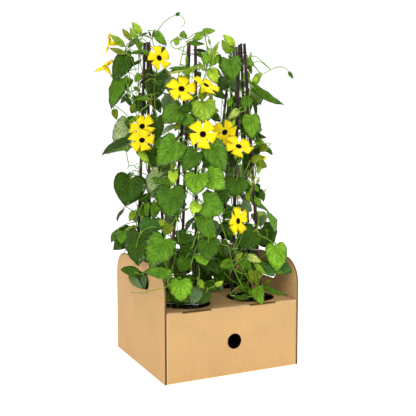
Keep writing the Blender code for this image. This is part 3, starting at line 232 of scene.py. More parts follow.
# Leaves of each plant: stalk end across and up, tip across and up, width, deeper than the pot, how
# much deeper the tip is (cm), roll about the midrib (degrees), tone
LEAVES = {
    "back_left": (
        (-11.2, 70.7, -8.9, 68.0, 1.8, -1.0, -0.8, 20, "bright"),
        (-17.3, 65.9, -20.4, 60.6, 3.8, -2.6, -1.0, -15, "dark"),
        (-18.4, 61.4, -20.9, 54.2, 3.0, -1.2, -0.5, 10, "mid"),
        (-13.9, 66.5, -16.8, 66.3, 1.5, -2.6, -1.2, 35, "mid"),
        (-13.8, 66.8, -11.3, 65.4, 1.5, -3.4, -0.8, -30, "mid"),
        (-11.0, 62.6, -11.6, 56.0, 5.2, -1.8, -1.0, 0, "dark"),
        (-9.4, 67.4, -10.4, 65.6, 1.2, -2.0, -0.4, 10, "mid"),
        (-14.5, 70.5, -16.4, 73.0, 1.3, -1.2, 0.3, 30, "lime"),
        (-15.2, 69.8, -16.9, 72.0, 1.2, -2.0, -0.4, -30, "lime"),
        (-16.6, 69.2, -18.4, 71.6, 1.2, -1.6, 0.0, 20, "lime"),
        (-6.9, 74.5, -6.0, 75.2, 0.8, -0.8, 0.0, 30, "mid"),
        (-20.1, 54.3, -19.7, 52.0, 1.6, -0.6, 0.3, 15, "olive"),
        (-17.2, 51.9, -20.4, 46.6, 3.8, -0.4, 1.6, 12, "under"),
        (-16.9, 47.8, -23.0, 44.4, 2.6, -2.0, -2.4, 48, "dark"),
        (-16.0, 55.4, -16.3, 53.6, 1.1, -2.4, -0.2, 0, "olive"),
        (-15.9, 52.5, -18.2, 51.5, 1.4, -2.0, 0.4, 20, "dark"),
        (-13.2, 57.0, -11.6, 54.6, 1.4, -3.0, -0.4, -20, "olive"),
        (-15.4, 57.4, -13.8, 53.4, 2.2, -1.2, -0.4, 10, "dark"),
        (-11.0, 52.9, -11.2, 47.0, 3.0, -2.6, -1.0, -20, "dark"),
        (-9.4, 47.8, -12.0, 45.4, 1.9, -4.0, -0.8, 24, "mid"),
        (-12.6, 45.6, -11.2, 41.0, 2.4, -2.4, 0.6, 10, "dark"),
        (-15.2, 45.5, -12.6, 42.8, 1.6, -4.2, -0.6, -12, "olive"),
        (-16.5, 39.9, -17.8, 33.3, 6.4, -3.0, -1.4, -10, "dark"),
        (-10.2, 41.0, -13.2, 36.1, 3.6, -4.6, 1.4, 16, "under"),
        (-15.8, 32.4, -17.0, 30.1, 1.6, -1.8, -0.4, 10, "lime"),
        (-15.6, 29.1, -18.1, 28.2, 1.3, -1.8, -0.4, -30, "pale"),
        (-13.0, 34.4, -13.2, 30.2, 1.5, -3.2, 0.0, 28, "bright"),
        (-11.0, 34.4, -12.0, 30.5, 2.1, -3.6, 0.0, -24, "bright"),
        (-16.6, 28.2, -20.4, 23.9, 4.0, -3.0, -2.0, -20, "dark"),
    ),
    "front_left": (
        (-14.5, 28.3, -15.2, 20.6, 5.2, 0.4, -2.6, 8, "dark"),
        (-15.3, 19.0, -18.9, 19.9, 1.9, -1.6, 1.0, 30, "deep"),
        (-16.6, 18.2, -13.7, 15.5, 1.7, -0.6, -1.4, 12, "grey"),
        (-13.9, 18.5, -13.6, 15.7, 1.4, -2.6, -0.6, -20, "grey"),
        (-8.1, 18.5, -14.0, 19.3, 2.4, -8.8, 0.6, 38, "mid"),
        (-6.5, 47.6, -11.0, 42.0, 4.9, -5.8, -1.4, -10, "mid"),
        (-5.8, 54.8, -9.8, 51.3, 4.2, -3.6, -1.4, 14, "mid"),
        (-5.6, 52.5, -2.4, 51.7, 2.4, -3.4, -0.8, 22, "mid"),
        (-3.2, 55.1, -6.4, 54.1, 1.9, -4.6, -0.8, -18, "dark"),
        (-1.1, 56.2, -0.6, 51.2, 4.3, -5.0, -1.2, 0, "light"),
        (-7.2, 50.7, -10.1, 48.9, 1.4, -3.0, 0.8, 30, "under"),
        (-6.2, 51.3, -7.2, 49.6, 1.3, -3.8, 0.0, 10, "olive"),
        (-2.4, 45.4, -5.4, 40.9, 3.6, -5.2, -1.4, 10, "deep"),
        (-8.3, 44.2, -9.9, 41.2, 2.6, -3.2, 0.4, -10, "dark"),
        (-7.4, 42.7, -7.9, 40.8, 1.2, -4.4, 0.0, 20, "olive"),
        (-7.5, 41.0, -7.5, 38.0, 1.8, -5.2, -0.4, 0, "lime"),
        (-8.0, 37.7, -8.1, 30.5, 5.4, -5.4, -1.6, 0, "deep"),
        (0.3, 47.1, 3.8, 40.8, 4.2, -5.6, -0.8, 0, "mid"),
        (0.4, 44.2, 1.4, 41.0, 3.2, -2.4, 0.0, 10, "dark"),
        (-2.4, 40.5, -2.7, 35.7, 4.5, -6.4, -1.4, 0, "bright"),
        (-0.4, 40.9, 3.7, 37.1, 4.3, -5.8, -1.4, 6, "bright"),
        (-4.0, 68.7, -1.0, 68.3, 1.0, -1.4, -0.6, 50, "mid"),
        (-4.2, 63.0, -8.4, 62.4, 1.4, -2.4, -1.0, 45, "mid"),
        (-6.6, 69.4, -6.4, 68.2, 0.8, -1.4, 0.0, 0, "mid"),
        (-4.8, 69.7, -5.4, 71.0, 0.8, -1.6, 0.0, 20, "mid"),
        (-1.6, 70.5, -3.4, 68.8, 1.0, -1.6, -0.4, 10, "mid"),
        (-0.6, 71.0, 1.5, 71.3, 0.9, -1.2, -0.4, 20, "mid"),
        (-0.5, 66.0, -0.3, 64.2, 1.0, -1.2, -0.4, 40, "mid"),
        (0.3, 65.8, 1.5, 64.2, 1.0, -0.6, -0.4, -40, "mid"),
        (0.6, 62.9, 1.9, 59.7, 2.1, -2.0, -0.8, 0, "lime"),
        (-1.0, 58.6, -1.0, 56.3, 1.3, -1.6, -0.4, 0, "mid"),
        (0.3, 58.6, 1.0, 55.8, 0.9, -1.6, -0.4, 20, "mid"),
        (-2.2, 34.1, -3.5, 31.7, 2.2, -5.6, -0.4, 0, "lime"),
        (-9.2, 29.6, -10.8, 30.2, 1.4, -3.6, 0.0, 10, "lime"),
        (-9.2, 26.8, -12.5, 20.2, 5.3, -4.4, -2.4, -5, "mid"),
        (-8.0, 29.4, -9.5, 27.1, 1.9, -3.0, 0.0, 10, "olive"),
        (-8.4, 23.6, -9.5, 21.3, 1.8, -3.4, -0.4, 20, "lime"),
        (-4.4, 27.7, -6.2, 25.0, 3.0, -2.6, 0.0, 10, "dark"),
        (-3.4, 24.6, -6.8, 22.2, 2.8, -2.2, 0.0, -10, "dark"),
        (-4.6, 22.4, -6.2, 18.8, 2.8, -3.4, -0.4, 10, "deep"),
        (-6.0, 17.7, -5.8, 12.8, 4.3, -6.0, -1.0, 0, "bright"),
        (-2.1, 15.5, -3.6, 12.1, 2.6, -5.2, -1.0, 12, "grey"),
        (-4.4, 15.6, -3.8, 14.0, 1.2, -6.0, -0.4, 0, "bright"),
        (-0.4, 14.9, -1.6, 12.2, 2.4, -3.6, -1.0, -10, "dark"),
        (-1.6, 31.8, 1.9, 25.2, 3.3, -4.6, -1.0, 10, "mid"),
        (-1.4, 34.4, 3.7, 32.4, 4.8, -5.0, -1.4, 6, "mid"),
        (1.6, 36.8, 4.4, 34.7, 2.8, -2.4, -0.4, -20, "dark"),
        (0.0, 26.2, 0.2, 21.6, 4.1, -5.4, -1.0, 0, "deep"),
        (-1.7, 23.2, -0.3, 20.6, 2.6, -4.4, -0.8, -20, "bright"),
        (-2.0, 17.5, -0.9, 15.5, 1.3, -4.6, -0.4, 0, "lime"),
        (-0.7, 16.8, 2.0, 15.1, 1.8, -3.8, -0.4, 20, "deep"),
        (1.6, 16.3, 3.4, 17.3, 1.2, -3.0, -0.2, 20, "lime"),
    ),
    "back_right": (
        (0.6, 53.7, 2.6, 52.5, 1.4, -3.6, -0.4, 0, "mid"),
        (4.8, 60.9, 2.4, 58.1, 2.7, -2.6, -0.6, 10, "dark"),
        (0.8, 58.5, 4.0, 56.5, 1.9, -3.4, -0.6, -16, "dark"),
        (2.6, 25.6, 4.4, 21.9, 2.8, -4.6, -0.8, 0, "light"),
        (1.0, 22.9, 3.4, 21.4, 2.2, -4.2, -0.4, 20, "mid"),
        (1.8, 21.8, 1.6, 19.6, 1.6, -4.4, 0.0, 0, "light"),
        (1.6, 49.6, 2.4, 51.0, 1.6, -2.6, 0.4, 0, "dark"),
        (-4.2, 53.0, -3.0, 49.0, 3.2, -3.0, 0.4, 10, "dark"),
        (2.8, 29.8, 4.4, 26.0, 3.0, -3.0, 0.0, 10, "dark"),
    ),
    "front_right": (
        (4.5, 65.4, 5.5, 60.2, 4.3, -2.8, -1.2, 0, "mid"),
        (7.6, 64.8, 9.9, 63.7, 1.3, 1.6, -0.6, 20, "mid"),
        (5.3, 67.6, 3.3, 70.2, 1.4, -1.0, 0.0, 20, "lime"),
        (5.3, 67.2, 3.6, 66.4, 1.2, -1.4, -0.4, -20, "lime"),
        (9.9, 59.9, 11.3, 62.0, 1.6, -2.0, -0.4, 0, "lime"),
        (9.6, 59.3, 16.3, 55.0, 1.8, -2.2, -1.2, 42, "mid"),
        (17.4, 62.3, 18.4, 60.8, 0.8, -0.2, 0.0, 10, "mid"),
        (8.8, 56.9, 7.3, 54.3, 2.3, -2.4, -0.4, 0, "mid"),
        (9.4, 57.1, 10.9, 55.2, 1.5, -1.6, -0.2, 10, "olive"),
        (5.0, 56.5, 4.2, 54.6, 1.3, -2.2, 0.0, 0, "bright"),
        (6.6, 54.2, 4.2, 52.0, 1.7, -3.4, -0.4, 10, "pale"),
        (5.6, 54.8, 4.9, 50.4, 3.0, 1.6, 0.0, -20, "dark"),
        (8.0, 53.8, 8.0, 49.4, 2.6, 2.0, 0.0, 10, "dark"),
        (9.2, 53.1, 9.4, 47.8, 3.5, -2.8, -1.0, 0, "bright"),
        (10.3, 48.8, 12.5, 48.1, 1.1, -1.6, 0.0, 50, "dark"),
        (10.2, 47.8, 12.4, 46.3, 1.5, -2.0, -0.4, 0, "bright"),
        (12.8, 46.4, 10.9, 45.2, 1.7, -2.6, 0.4, 20, "olive"),
        (12.9, 45.7, 13.9, 44.4, 0.9, -2.2, 0.0, 0, "deep"),
        (11.0, 46.4, 9.6, 44.4, 1.7, 0.6, 0.0, -20, "dark"),
        (10.6, 42.9, 12.7, 41.8, 1.9, -1.6, -0.4, 20, "olive"),
        (6.2, 45.2, 5.0, 41.6, 2.6, 1.4, 0.0, 0, "dark"),
        (8.8, 45.4, 9.2, 40.8, 2.6, 1.4, 0.0, 10, "dark"),
        (6.2, 39.4, 5.4, 35.5, 4.9, -5.4, -1.2, 0, "deep"),
        (9.8, 38.0, 10.3, 33.2, 2.6, 0.8, 0.0, 10, "dark"),
        (10.9, 36.8, 12.0, 35.3, 1.4, -0.6, 0.0, 20, "dark"),
        (10.3, 34.9, 11.4, 33.5, 1.5, -1.4, 0.0, 0, "lime"),
        (10.3, 31.8, 12.6, 32.0, 1.2, -1.6, 0.0, 20, "pale"),
        (8.4, 36.2, 8.9, 33.5, 1.0, -3.2, 0.0, 10, "lime"),
        (7.2, 34.0, 9.5, 32.3, 2.3, -3.0, -0.4, 10, "grey"),
        (5.0, 32.0, 3.3, 30.8, 1.7, -3.6, 0.0, 0, "mid"),
        (5.1, 29.2, 4.6, 26.7, 1.9, -4.4, -0.4, 0, "mid"),
        (10.2, 28.4, 6.6, 23.9, 4.8, -2.4, 0.0, 10, "dark"),
        (11.2, 29.0, 13.5, 24.3, 4.8, -1.2, 0.0, -6, "dark"),
        (12.8, 28.2, 14.8, 27.0, 1.8, -0.6, 0.0, 10, "dark"),
        (14.5, 25.3, 15.0, 19.2, 4.1, -2.6, -1.2, 0, "bright"),
        (14.9, 20.9, 18.2, 19.1, 2.5, -3.2, -0.6, 20, "blue"),
        (12.2, 20.4, 14.4, 18.3, 1.9, -3.4, -0.4, 0, "blue"),
        (12.0, 16.1, 17.3, 14.2, 1.4, -2.6, -0.8, 30, "mid"),
        (8.5, 22.7, 11.6, 21.4, 1.7, -4.6, -0.6, 10, "pale"),
        (10.2, 20.9, 12.7, 18.5, 1.2, -4.4, -0.4, 20, "light"),
        (7.2, 22.1, 9.2, 19.8, 2.5, -3.8, -0.4, 0, "mid"),
        (6.2, 22.2, 7.5, 23.5, 1.1, -5.0, -0.2, 0, "lime"),
        (9.1, 19.8, 9.7, 16.3, 1.3, -4.6, -0.2, 20, "olive"),
        (10.4, 19.6, 10.1, 16.4, 1.4, -4.2, 0.0, -20, "olive"),
        (11.4, 19.4, 10.8, 17.4, 1.1, -4.4, 0.0, 10, "olive"),
        (12.2, 16.7, 13.7, 17.6, 1.2, -3.0, 0.0, 10, "olive"),
        (10.4, 15.9, 11.8, 12.1, 2.5, -4.4, -2.2, 10, "bright"),
        (8.9, 15.4, 9.9, 13.9, 1.4, -4.6, -0.4, 0, "bright"),
        (8.8, 13.9, 5.6, 13.2, 1.6, -4.4, -0.4, 45, "deep"),
        (4.9, 21.4, 2.2, 20.1, 1.9, -4.2, -0.6, 10, "bright"),
    ),
}

# Growth that is too thin for solids of its own, for each shoot: kind of stem, radius (mm), deeper
# than the pot, then points across and up (cm)
FINE_SHOOTS = {
    ("back_left", 0): (
        ("pale", 0.5, -3.6, ((-15.8, 42.2), (-15.2, 42.6), (-14.6, 42.3), (-13.5, 42.5))),
        ("pale", 0.5, -4.2, ((-16.0, 34.8), (-14.8, 34.8), (-13.7, 35.2), (-12.8, 36.0))),
        ("pale", 0.6, -4.0, ((-15.7, 34.5), (-14.9, 32.5), (-14.2, 30.0), (-13.5, 27.5))),
        ("brown", 0.9, -3.4, ((-14.8, 66.0), (-14.5, 63.8), (-13.7, 61.0), (-13.0, 57.4))),
        ("pale", 1.1, -3.2, ((-17.4, 61.4), (-17.5, 60.0), (-17.0, 58.4), (-16.6, 56.8), (-16.1, 55.6))),
        ("pale", 0.8, -3.3, ((-17.1, 61.2), (-17.0, 60.0), (-17.4, 58.6), (-17.1, 57.0), (-16.3, 55.9))),
        ("green", 0.8, -2.6, ((-17.0, 66.2), (-16.3, 64.6), (-15.6, 62.8), (-15.3, 60.4))),
        ("green", 0.7, -2.2, ((-17.6, 62.6), (-16.2, 61.8), (-15.4, 60.2), (-14.9, 58.4))),
        ("pale", 0.8, -2.8, ((-15.9, 69.6), (-15.2, 68.2), (-14.7, 66.6), (-14.5, 64.8))),
        ("pale", 0.9, -3.0, ((-17.6, 68.2), (-16.9, 67.4), (-16.2, 66.9), (-15.0, 66.7))),
        ("pale", 0.7, -3.2, ((-17.9, 66.4), (-16.9, 66.2), (-16.2, 66.6), (-15.0, 66.6))),
    ),
    ("back_left", 1): (
        ("pale", 0.5, -4.6, ((-12.9, 29.4), (-11.0, 30.6), (-9.2, 31.2))),
        ("pale", 0.9, -6.6, ((-13.0, 42.8), (-11.3, 40.6), (-9.0, 38.4))),
        ("brown", 1.2, -5.0, ((-12.7, 55.3), (-14.2, 54.2), (-14.9, 53.3), (-15.3, 52.3))),
        ("pale", 0.7, -5.4, ((-12.2, 55.2), (-11.6, 54.2), (-11.0, 53.6), (-10.1, 54.6))),
        ("green", 0.7, -3.0, ((-13.9, 64.2), (-13.2, 64.9), (-12.6, 64.2), (-11.6, 63.6), (-10.9, 62.6))),
        ("green", 0.6, -2.4, ((-13.6, 62.6), (-12.4, 63.2), (-11.4, 62.4), (-10.6, 61.4))),
    ),
    ("back_left", 2): (
        ("pale", 0.7, 0.6, ((-13.6, 67.4), (-12.6, 68.8), (-11.9, 70.0), (-11.3, 70.8))),
    ),
    ("front_left", 0): (
        ("green", 0.8, -4.0, ((-5.0, 62.2), (-6.4, 62.3), (-8.2, 62.4))),
        ("pale", 0.8, -4.6, ((-6.9, 31.4), (-6.6, 28.6), (-6.3, 25.4))),
        ("pale", 0.9, -4.8, (
            (-3.4, 31.6), (-2.4, 30.2), (-2.0, 27.0), (-2.6, 24.4), (-3.5, 21.4), (-3.7, 19.6),
        )),
        ("pale", 0.8, -5.2, ((-9.2, 21.4), (-8.8, 20.2), (-7.8, 18.4))),
    ),
    ("front_left", 1): (
        ("pale", 0.8, -3.0, ((0.6, 63.0), (0.3, 65.0), (0.8, 67.2), (0.2, 68.6))),
        ("pale", 0.7, -3.4, ((1.5, 66.4), (1.0, 64.4), (0.2, 62.0), (-0.6, 60.6))),
        ("pale", 1.0, -6.2, ((0.2, 62.6), (-0.8, 61.0), (-1.6, 59.2), (-2.0, 57.8), (-4.4, 55.6))),
        ("pale", 0.8, -4.6, ((-4.2, 57.4), (-3.9, 56.2), (-3.8, 55.0))),
        ("brown", 0.9, -1.2, ((-0.7, 70.3), (0.1, 65.5), (-0.4, 62.5))),
    ),
    ("back_right", 0): (
        ("green", 0.7, -1.6, ((2.2, 63.8), (3.4, 62.6), (4.6, 61.4))),
    ),
    ("back_right", 1): (
        ("brown", 0.4, -3.0, ((9.9, 59.9), (8.9, 58.6), (7.8, 57.2))),
        ("brown", 0.4, -3.0, ((9.9, 58.4), (9.0, 57.6), (8.0, 56.6))),
        ("pale", 0.7, -2.6, ((7.5, 60.8), (8.0, 62.2), (8.8, 63.4))),
    ),
    ("front_right", 1): (
        ("pale", 1.1, -4.2, ((8.2, 54.7), (7.8, 54.0), (6.7, 53.6))),
        ("pale", 0.6, -5.5, ((5.4, 25.6), (6.0, 22.6), (7.4, 20.0), (7.0, 17.2))),
        ("pale", 0.6, -5.2, ((8.6, 22.4), (7.6, 20.4), (8.4, 18.2), (9.6, 16.4))),
        ("green", 0.6, -5.8, ((4.2, 21.0), (5.8, 19.6), (7.6, 18.8), (9.8, 19.2))),
        ("pale", 0.5, -5.0, ((3.4, 19.2), (4.8, 17.6), (6.2, 16.8), (6.8, 15.2))),
        ("pale", 0.9, -3.4, ((10.6, 28.8), (11.0, 27.2), (12.6, 26.4), (14.4, 25.3))),
    ),
    ("front_left", 2): (
        ("green", 0.7, -4.0, ((1.6, 54.6), (-0.6, 52.6), (-3.4, 51.0))),
    ),
    ("front_right", 0): (
        ("pale", 0.8, -5.4, ((6.6, 44.5), (6.9, 42.0), (7.0, 39.6))),
        ("pale", 0.8, -5.0, ((7.5, 45.0), (7.3, 42.0), (7.2, 39.6))),
        ("pale", 0.8, -4.6, ((9.0, 43.0), (8.2, 41.2), (7.4, 39.4))),
        ("pale", 0.7, -4.4, ((9.8, 42.0), (8.8, 40.6), (7.6, 39.2))),
        ("pale", 1.0, -6.2, ((2.3, 31.2), (3.4, 28.0), (4.6, 24.0), (5.4, 20.3), (7.5, 15.7))),
        ("pale", 0.8, -6.0, ((5.2, 20.3), (6.6, 21.6), (8.0, 22.5))),
        ("pale", 0.8, -5.6, ((6.9, 28.2), (6.4, 26.4), (5.0, 23.6))),
        ("pale", 0.7, -5.4, ((7.6, 27.8), (6.8, 25.8), (5.2, 22.8))),
        ("pale", 0.6, -3.6, ((3.6, 20.0), (6.0, 19.6), (8.6, 18.2), (10.4, 16.4))),
    ),
}

# Leaves and bracts too fine for the frame, for each shoot: tone, with the outline where it isn't a small
# leaf's, width, deeper than the pot, roll, then the base and the tip, across and up (cm)
SMALL_GROWTH = {
    ("back_left", 0): (
        ("lime bract", 1.8, -2.5, 10, -14.4, 70.6, -16.4, 73.1),
        ("light bract", 1.4, -3.1, -15, -15.5, 69.5, -16.8, 71.9),
        ("olive bract", 1.4, -2.9, 20, -16.7, 69.3, -18.5, 71.7),
        ("light bract", 1.6, -3.4, 0, -18.0, 67.8, -21.0, 70.4),
        ("olive bract", 1.3, -3.6, 10, -17.6, 66.2, -21.3, 67.5),
        ("grey", 1.3, -1.5, 10, -15.6, 69.2, -17.3, 67.4),
        ("mid", 1.1, -1.0, -20, -16.9, 66.9, -17.3, 64.8),
        ("dark", 1.0, -2.0, 30, -14.6, 64.7, -17.0, 63.3),
        ("bright", 1.7, -3.0, 0, -14.5, 61.8, -15.8, 60.1),
        ("mid", 1.3, -2.0, 10, -16.4, 60.8, -17.8, 58.2),
        ("olive", 1.0, -1.0, -20, -15.9, 59.0, -14.5, 58.1),
        ("grey", 1.3, -1.0, 0, -17.0, 57.5, -18.9, 55.5),
        ("dark", 1.2, -2.0, 20, -17.7, 57.0, -16.1, 54.6),
        ("deep", 1.4, -0.5, 10, -18.0, 60.4, -17.2, 57.9),
        ("light", 1.0, -2.6, 0, -16.1, 55.3, -16.5, 53.5),
        ("bright", 0.9, -4.2, 20, -18.0, 45.9, -19.8, 45.2),
        ("bright", 0.9, -4.6, 0, -15.5, 52.3, -17.2, 51.5),
        ("deep", 0.8, -4.8, 10, -17.7, 52.0, -16.8, 49.8),
        ("grey", 0.9, -3.0, 20, -17.4, 27.9, -20.5, 26.9),
        ("under", 0.7, -3.4, 0, -19.3, 27.9, -19.7, 26.2),
        ("lime", 0.7, -4.8, 10, -14.4, 31.2, -13.3, 30.2),
        ("olive", 0.6, -4.9, 30, -13.5, 28.9, -13.9, 28.0),
        ("dark", 2.6, -4.2, 10, -14.2, 20.2, -13.8, 16.0),
        ("deep", 2.2, -1.7, -10, -16.2, 19.8, -15.4, 16.4),
        ("dark", 2.4, -2.2, 20, -15.4, 21.6, -15.2, 18.4),
        ("dark", 2.4, -5.4, 0, -13.4, 19.8, -12.9, 15.8),
    ),
    ("back_left", 1): (
        ("deep", 1.5, -1.5, 0, -14.2, 56.4, -13.4, 53.0),
        ("mid", 1.3, -1.0, 20, -15.2, 56.0, -14.5, 53.4),
        ("bright", 1.3, -5.0, 30, -12.5, 56.4, -15.7, 56.4),
        ("mid", 1.2, -5.0, -20, -13.9, 66.9, -11.9, 65.2),
        ("dark", 1.2, -3.2, 0, -13.9, 65.6, -12.6, 64.4),
        ("mid", 0.8, -3.6, 10, -9.9, 67.6, -9.0, 66.9),
        ("dark", 1.8, 0.5, 10, -11.2, 56.4, -10.2, 53.4),
        ("lime bract", 1.6, -6.2, 0, -14.9, 45.3, -12.6, 42.7),
        ("light bract", 1.0, -6.0, 20, -14.5, 44.6, -13.4, 42.6),
        ("olive", 0.7, -3.4, 0, -8.8, 62.5, -7.9, 61.0),
    ),
    ("back_left", 2): (
        ("dark toothed", 3.2, -1.0, 0, -7.4, 24.0, -7.0, 19.8),
        ("deep toothed", 3.0, 0.0, 10, -5.8, 20.6, -6.0, 16.8),
        ("dark heart", 2.8, -2.0, -10, -9.6, 21.4, -9.8, 17.4),
        ("mid", 2.6, -2.4, 0, -3.6, 18.8, -3.2, 15.6),
        ("grey", 0.6, 0.4, 0, -14.3, 70.2, -12.9, 70.8),
        ("deep", 0.5, 0.4, 20, -12.7, 70.9, -12.2, 69.8),
        ("mid", 0.6, 0.2, 0, -11.9, 69.9, -11.4, 71.6),
        ("bright", 1.2, -0.6, 0, -14.4, 68.8, -14.8, 66.6),
        ("grey", 1.4, 0.4, 30, -15.6, 70.0, -14.9, 67.4),
    ),
    ("front_left", 0): (
        ("mid", 1.0, -3.6, 30, -5.2, 62.9, -8.6, 63.0),
        ("pale", 0.6, -4.4, 10, -4.9, 62.5, -8.9, 61.9),
        ("light", 1.3, -2.6, 0, -5.6, 69.7, -5.2, 71.3),
        ("light", 1.2, -2.6, 10, -6.6, 69.5, -6.9, 67.9),
        ("bright", 0.6, -3.4, 0, -4.6, 65.6, -4.5, 63.3),
        ("olive", 0.8, 2.0, 20, -7.5, 31.6, -6.0, 29.8),
    ),
    ("front_left", 1): (
        ("bright", 2.1, -2.6, 12, 0.2, 66.5, -0.8, 63.7),
        ("bright", 2.0, -2.2, -16, 1.7, 66.0, 0.7, 63.5),
        ("lime", 0.8, -3.0, 10, 2.0, 68.0, 1.0, 66.0),
        ("pale", 1.0, -2.8, 0, 0.1, 67.3, 1.1, 65.2),
        ("lime", 0.5, -2.0, 0, 0.2, 69.3, 0.5, 68.0),
        ("lime", 0.8, -3.2, -10, 1.6, 66.9, 1.0, 64.7),
        ("deep", 1.0, -1.0, 0, 2.2, 66.1, 2.9, 64.0),
        ("deep", 0.8, -1.2, 30, -2.4, 67.0, -0.3, 66.8),
        ("mid", 0.9, -1.6, 10, -2.3, 66.4, -0.9, 65.3),
        ("light", 1.3, -2.0, 10, -1.2, 71.0, 1.6, 71.2),
        ("light", 1.6, -2.2, 0, -1.2, 70.6, -3.4, 68.9),
        ("mid", 0.9, -0.6, 20, -4.0, 68.7, -0.6, 68.3),
        ("lime", 0.9, -2.6, 0, -1.8, 64.1, -0.8, 62.4),
        ("olive", 1.9, -2.8, 0, -0.9, 58.9, -1.3, 56.0),
        ("light", 0.6, -3.4, 0, 0.2, 58.7, 1.0, 55.6),
        ("light", 1.1, -5.4, 20, -5.2, 61.9, -1.5, 64.2),
        ("bright", 1.4, -0.6, 0, 0.4, 63.0, 0.4, 60.9),
        ("bright", 0.9, -4.8, 0, 1.1, 54.4, 1.9, 53.1),
        ("grey", 0.5, -3.6, 0, 1.0, 54.9, 2.5, 53.6),
    ),
    ("front_left", 2): (
        ("grey", 2.7, -3.4, 10, -3.2, 15.6, -1.4, 12.2),
        ("dark", 1.6, -3.6, 40, -7.6, 13.4, -5.0, 12.2),
        ("dark", 2.0, -2.6, 0, -9.2, 16.4, -9.6, 13.2),
        ("deep", 2.0, -4.4, 20, -9.6, 14.8, -8.2, 12.6),
        ("dark", 1.9, -4.6, -20, -7.8, 14.6, -6.2, 12.5),
        ("mid", 1.7, -4.8, 10, -6.0, 14.4, -4.0, 12.5),
        ("dark", 1.8, -4.4, 30, -3.4, 14.8, -1.8, 13.0),
        ("deep", 2.6, -1.0, 0, -4.8, 18.4, -4.6, 14.8),
        ("mid", 1.0, 0.0, 20, -5.6, 60.5, -4.2, 58.6),
        ("deep", 1.4, 0.0, 0, -2.0, 62.4, -2.6, 60.0),
        ("dark", 1.2, -4.0, 10, 0.8, 52.9, 2.8, 51.6),
        ("lime", 0.8, -4.8, 0, -7.6, 42.8, -7.4, 40.9),
        ("pale", 0.6, -5.4, 0, 2.4, 41.4, 3.9, 38.4),
    ),
    ("back_right", 0): (
        ("deep", 3.2, -3.0, 0, 1.8, 22.4, 2.6, 18.4),
        ("mid", 3.0, -2.0, 14, 4.8, 22.6, 4.0, 18.8),
        ("dark", 3.0, -1.0, -14, 0.4, 21.6, -0.2, 17.6),
        ("dark", 3.2, 0.0, 10, 3.4, 20.2, 3.0, 16.4),
        ("dark", 2.2, -1.5, 10, 3.4, 61.4, 2.4, 58.2),
        ("deep", 1.7, -1.8, -10, 4.4, 60.8, 5.8, 58.4),
        ("mid", 1.2, -1.4, 0, 1.3, 62.9, 2.9, 61.5),
        ("under", 0.5, -2.0, 0, 6.3, 57.2, 6.2, 54.6),
        ("mid", 1.1, -1.8, 0, 5.7, 57.2, 5.3, 53.4),
    ),
    ("back_right", 2): (
        ("dark toothed", 3.2, -7.0, 10, -4.6, 22.8, -4.2, 18.8),
        ("deep heart", 3.0, -7.4, -10, -1.8, 21.6, -2.4, 17.4),
        ("dark toothed", 3.2, -6.0, 0, 0.4, 22.8, 0.4, 18.6),
        ("mid heart", 2.8, -7.8, 14, 2.8, 19.8, 2.2, 16.2),
        ("deep toothed", 2.6, -8.0, -14, 4.8, 19.2, 5.4, 15.9),
        ("dark heart", 2.8, -5.6, 0, -0.4, 18.8, -1.0, 15.9),
        ("mid", 2.4, -8.2, 20, 1.0, 17.8, 2.6, 15.3),
    ),
    ("back_right", 1): (
        ("dark", 3.4, -1.0, 10, 12.6, 22.6, 13.2, 18.4),
        ("deep", 3.0, -2.0, -10, 10.6, 22.0, 11.0, 18.2),
        ("dark", 1.6, -2.6, 10, 6.6, 57.0, 6.0, 53.4),
        ("dark", 2.1, -2.2, 0, 7.7, 56.2, 7.4, 52.0),
        ("deep", 1.1, -2.4, 0, 7.7, 50.2, 7.3, 47.4),
        ("dark", 1.3, -2.4, 0, 5.9, 52.2, 5.3, 49.8),
        ("dark", 1.0, -2.6, 10, 9.4, 56.2, 8.6, 52.6),
        ("dark", 1.0, -2.8, -10, 9.8, 56.8, 10.5, 52.4),
        ("olive", 0.6, -2.6, 0, 8.8, 60.4, 9.8, 58.9),
        ("mid", 1.2, -2.4, 0, 8.3, 62.4, 8.8, 60.2),
    ),
    ("front_right", 0): (
        ("lime bract", 1.9, -2.4, 10, 5.7, 68.0, 3.3, 70.4),
        ("light bract", 1.6, -2.8, -10, 4.5, 66.4, 3.0, 69.3),
        ("bright", 1.0, -2.0, 0, 5.0, 67.6, 5.8, 66.6),
        ("pale", 0.8, -5.0, 0, 4.5, 36.2, 5.3, 35.0),
        ("pale", 0.7, -5.0, 0, 6.2, 36.2, 6.9, 34.8),
        ("lime", 0.5, -5.6, 0, 5.6, 52.0, 5.3, 50.2),
    ),
    ("front_right", 1): (
        ("bright", 1.9, -1.6, 10, 7.7, 64.9, 10.0, 63.7),
        ("mid", 0.6, -1.2, 0, 7.7, 64.9, 8.3, 66.6),
        ("mid", 0.4, -1.0, 20, 7.6, 66.4, 8.0, 67.4),
        ("lime", 0.5, -1.2, 0, 9.1, 64.9, 9.3, 66.8),
        ("lime", 0.9, -1.6, 0, 7.8, 61.5, 8.3, 60.2),
        ("mid", 1.0, -1.0, 10, 8.8, 64.0, 9.4, 61.8),
        ("light bract", 1.4, -2.6, 10, 10.0, 60.6, 11.6, 62.2),
        ("lime bract", 1.2, -2.9, -10, 9.7, 59.9, 10.6, 61.6),
        ("dark", 1.4, -2.4, 20, 8.7, 56.7, 10.9, 55.1),
        ("dark", 1.0, -2.8, 40, 10.4, 49.0, 12.6, 48.1),
        ("olive bract", 2.0, -3.0, 0, 9.2, 43.2, 12.2, 44.0),
        ("olive bract", 1.4, -3.2, 20, 10.5, 42.9, 12.7, 42.0),
        ("light bract", 1.0, -2.8, 0, 11.2, 42.7, 10.8, 40.2),
        ("lime bract", 0.5, -3.4, 0, 9.1, 40.1, 9.0, 39.2),
        ("pale bract", 0.5, -3.4, 0, 9.4, 39.2, 9.8, 38.3),
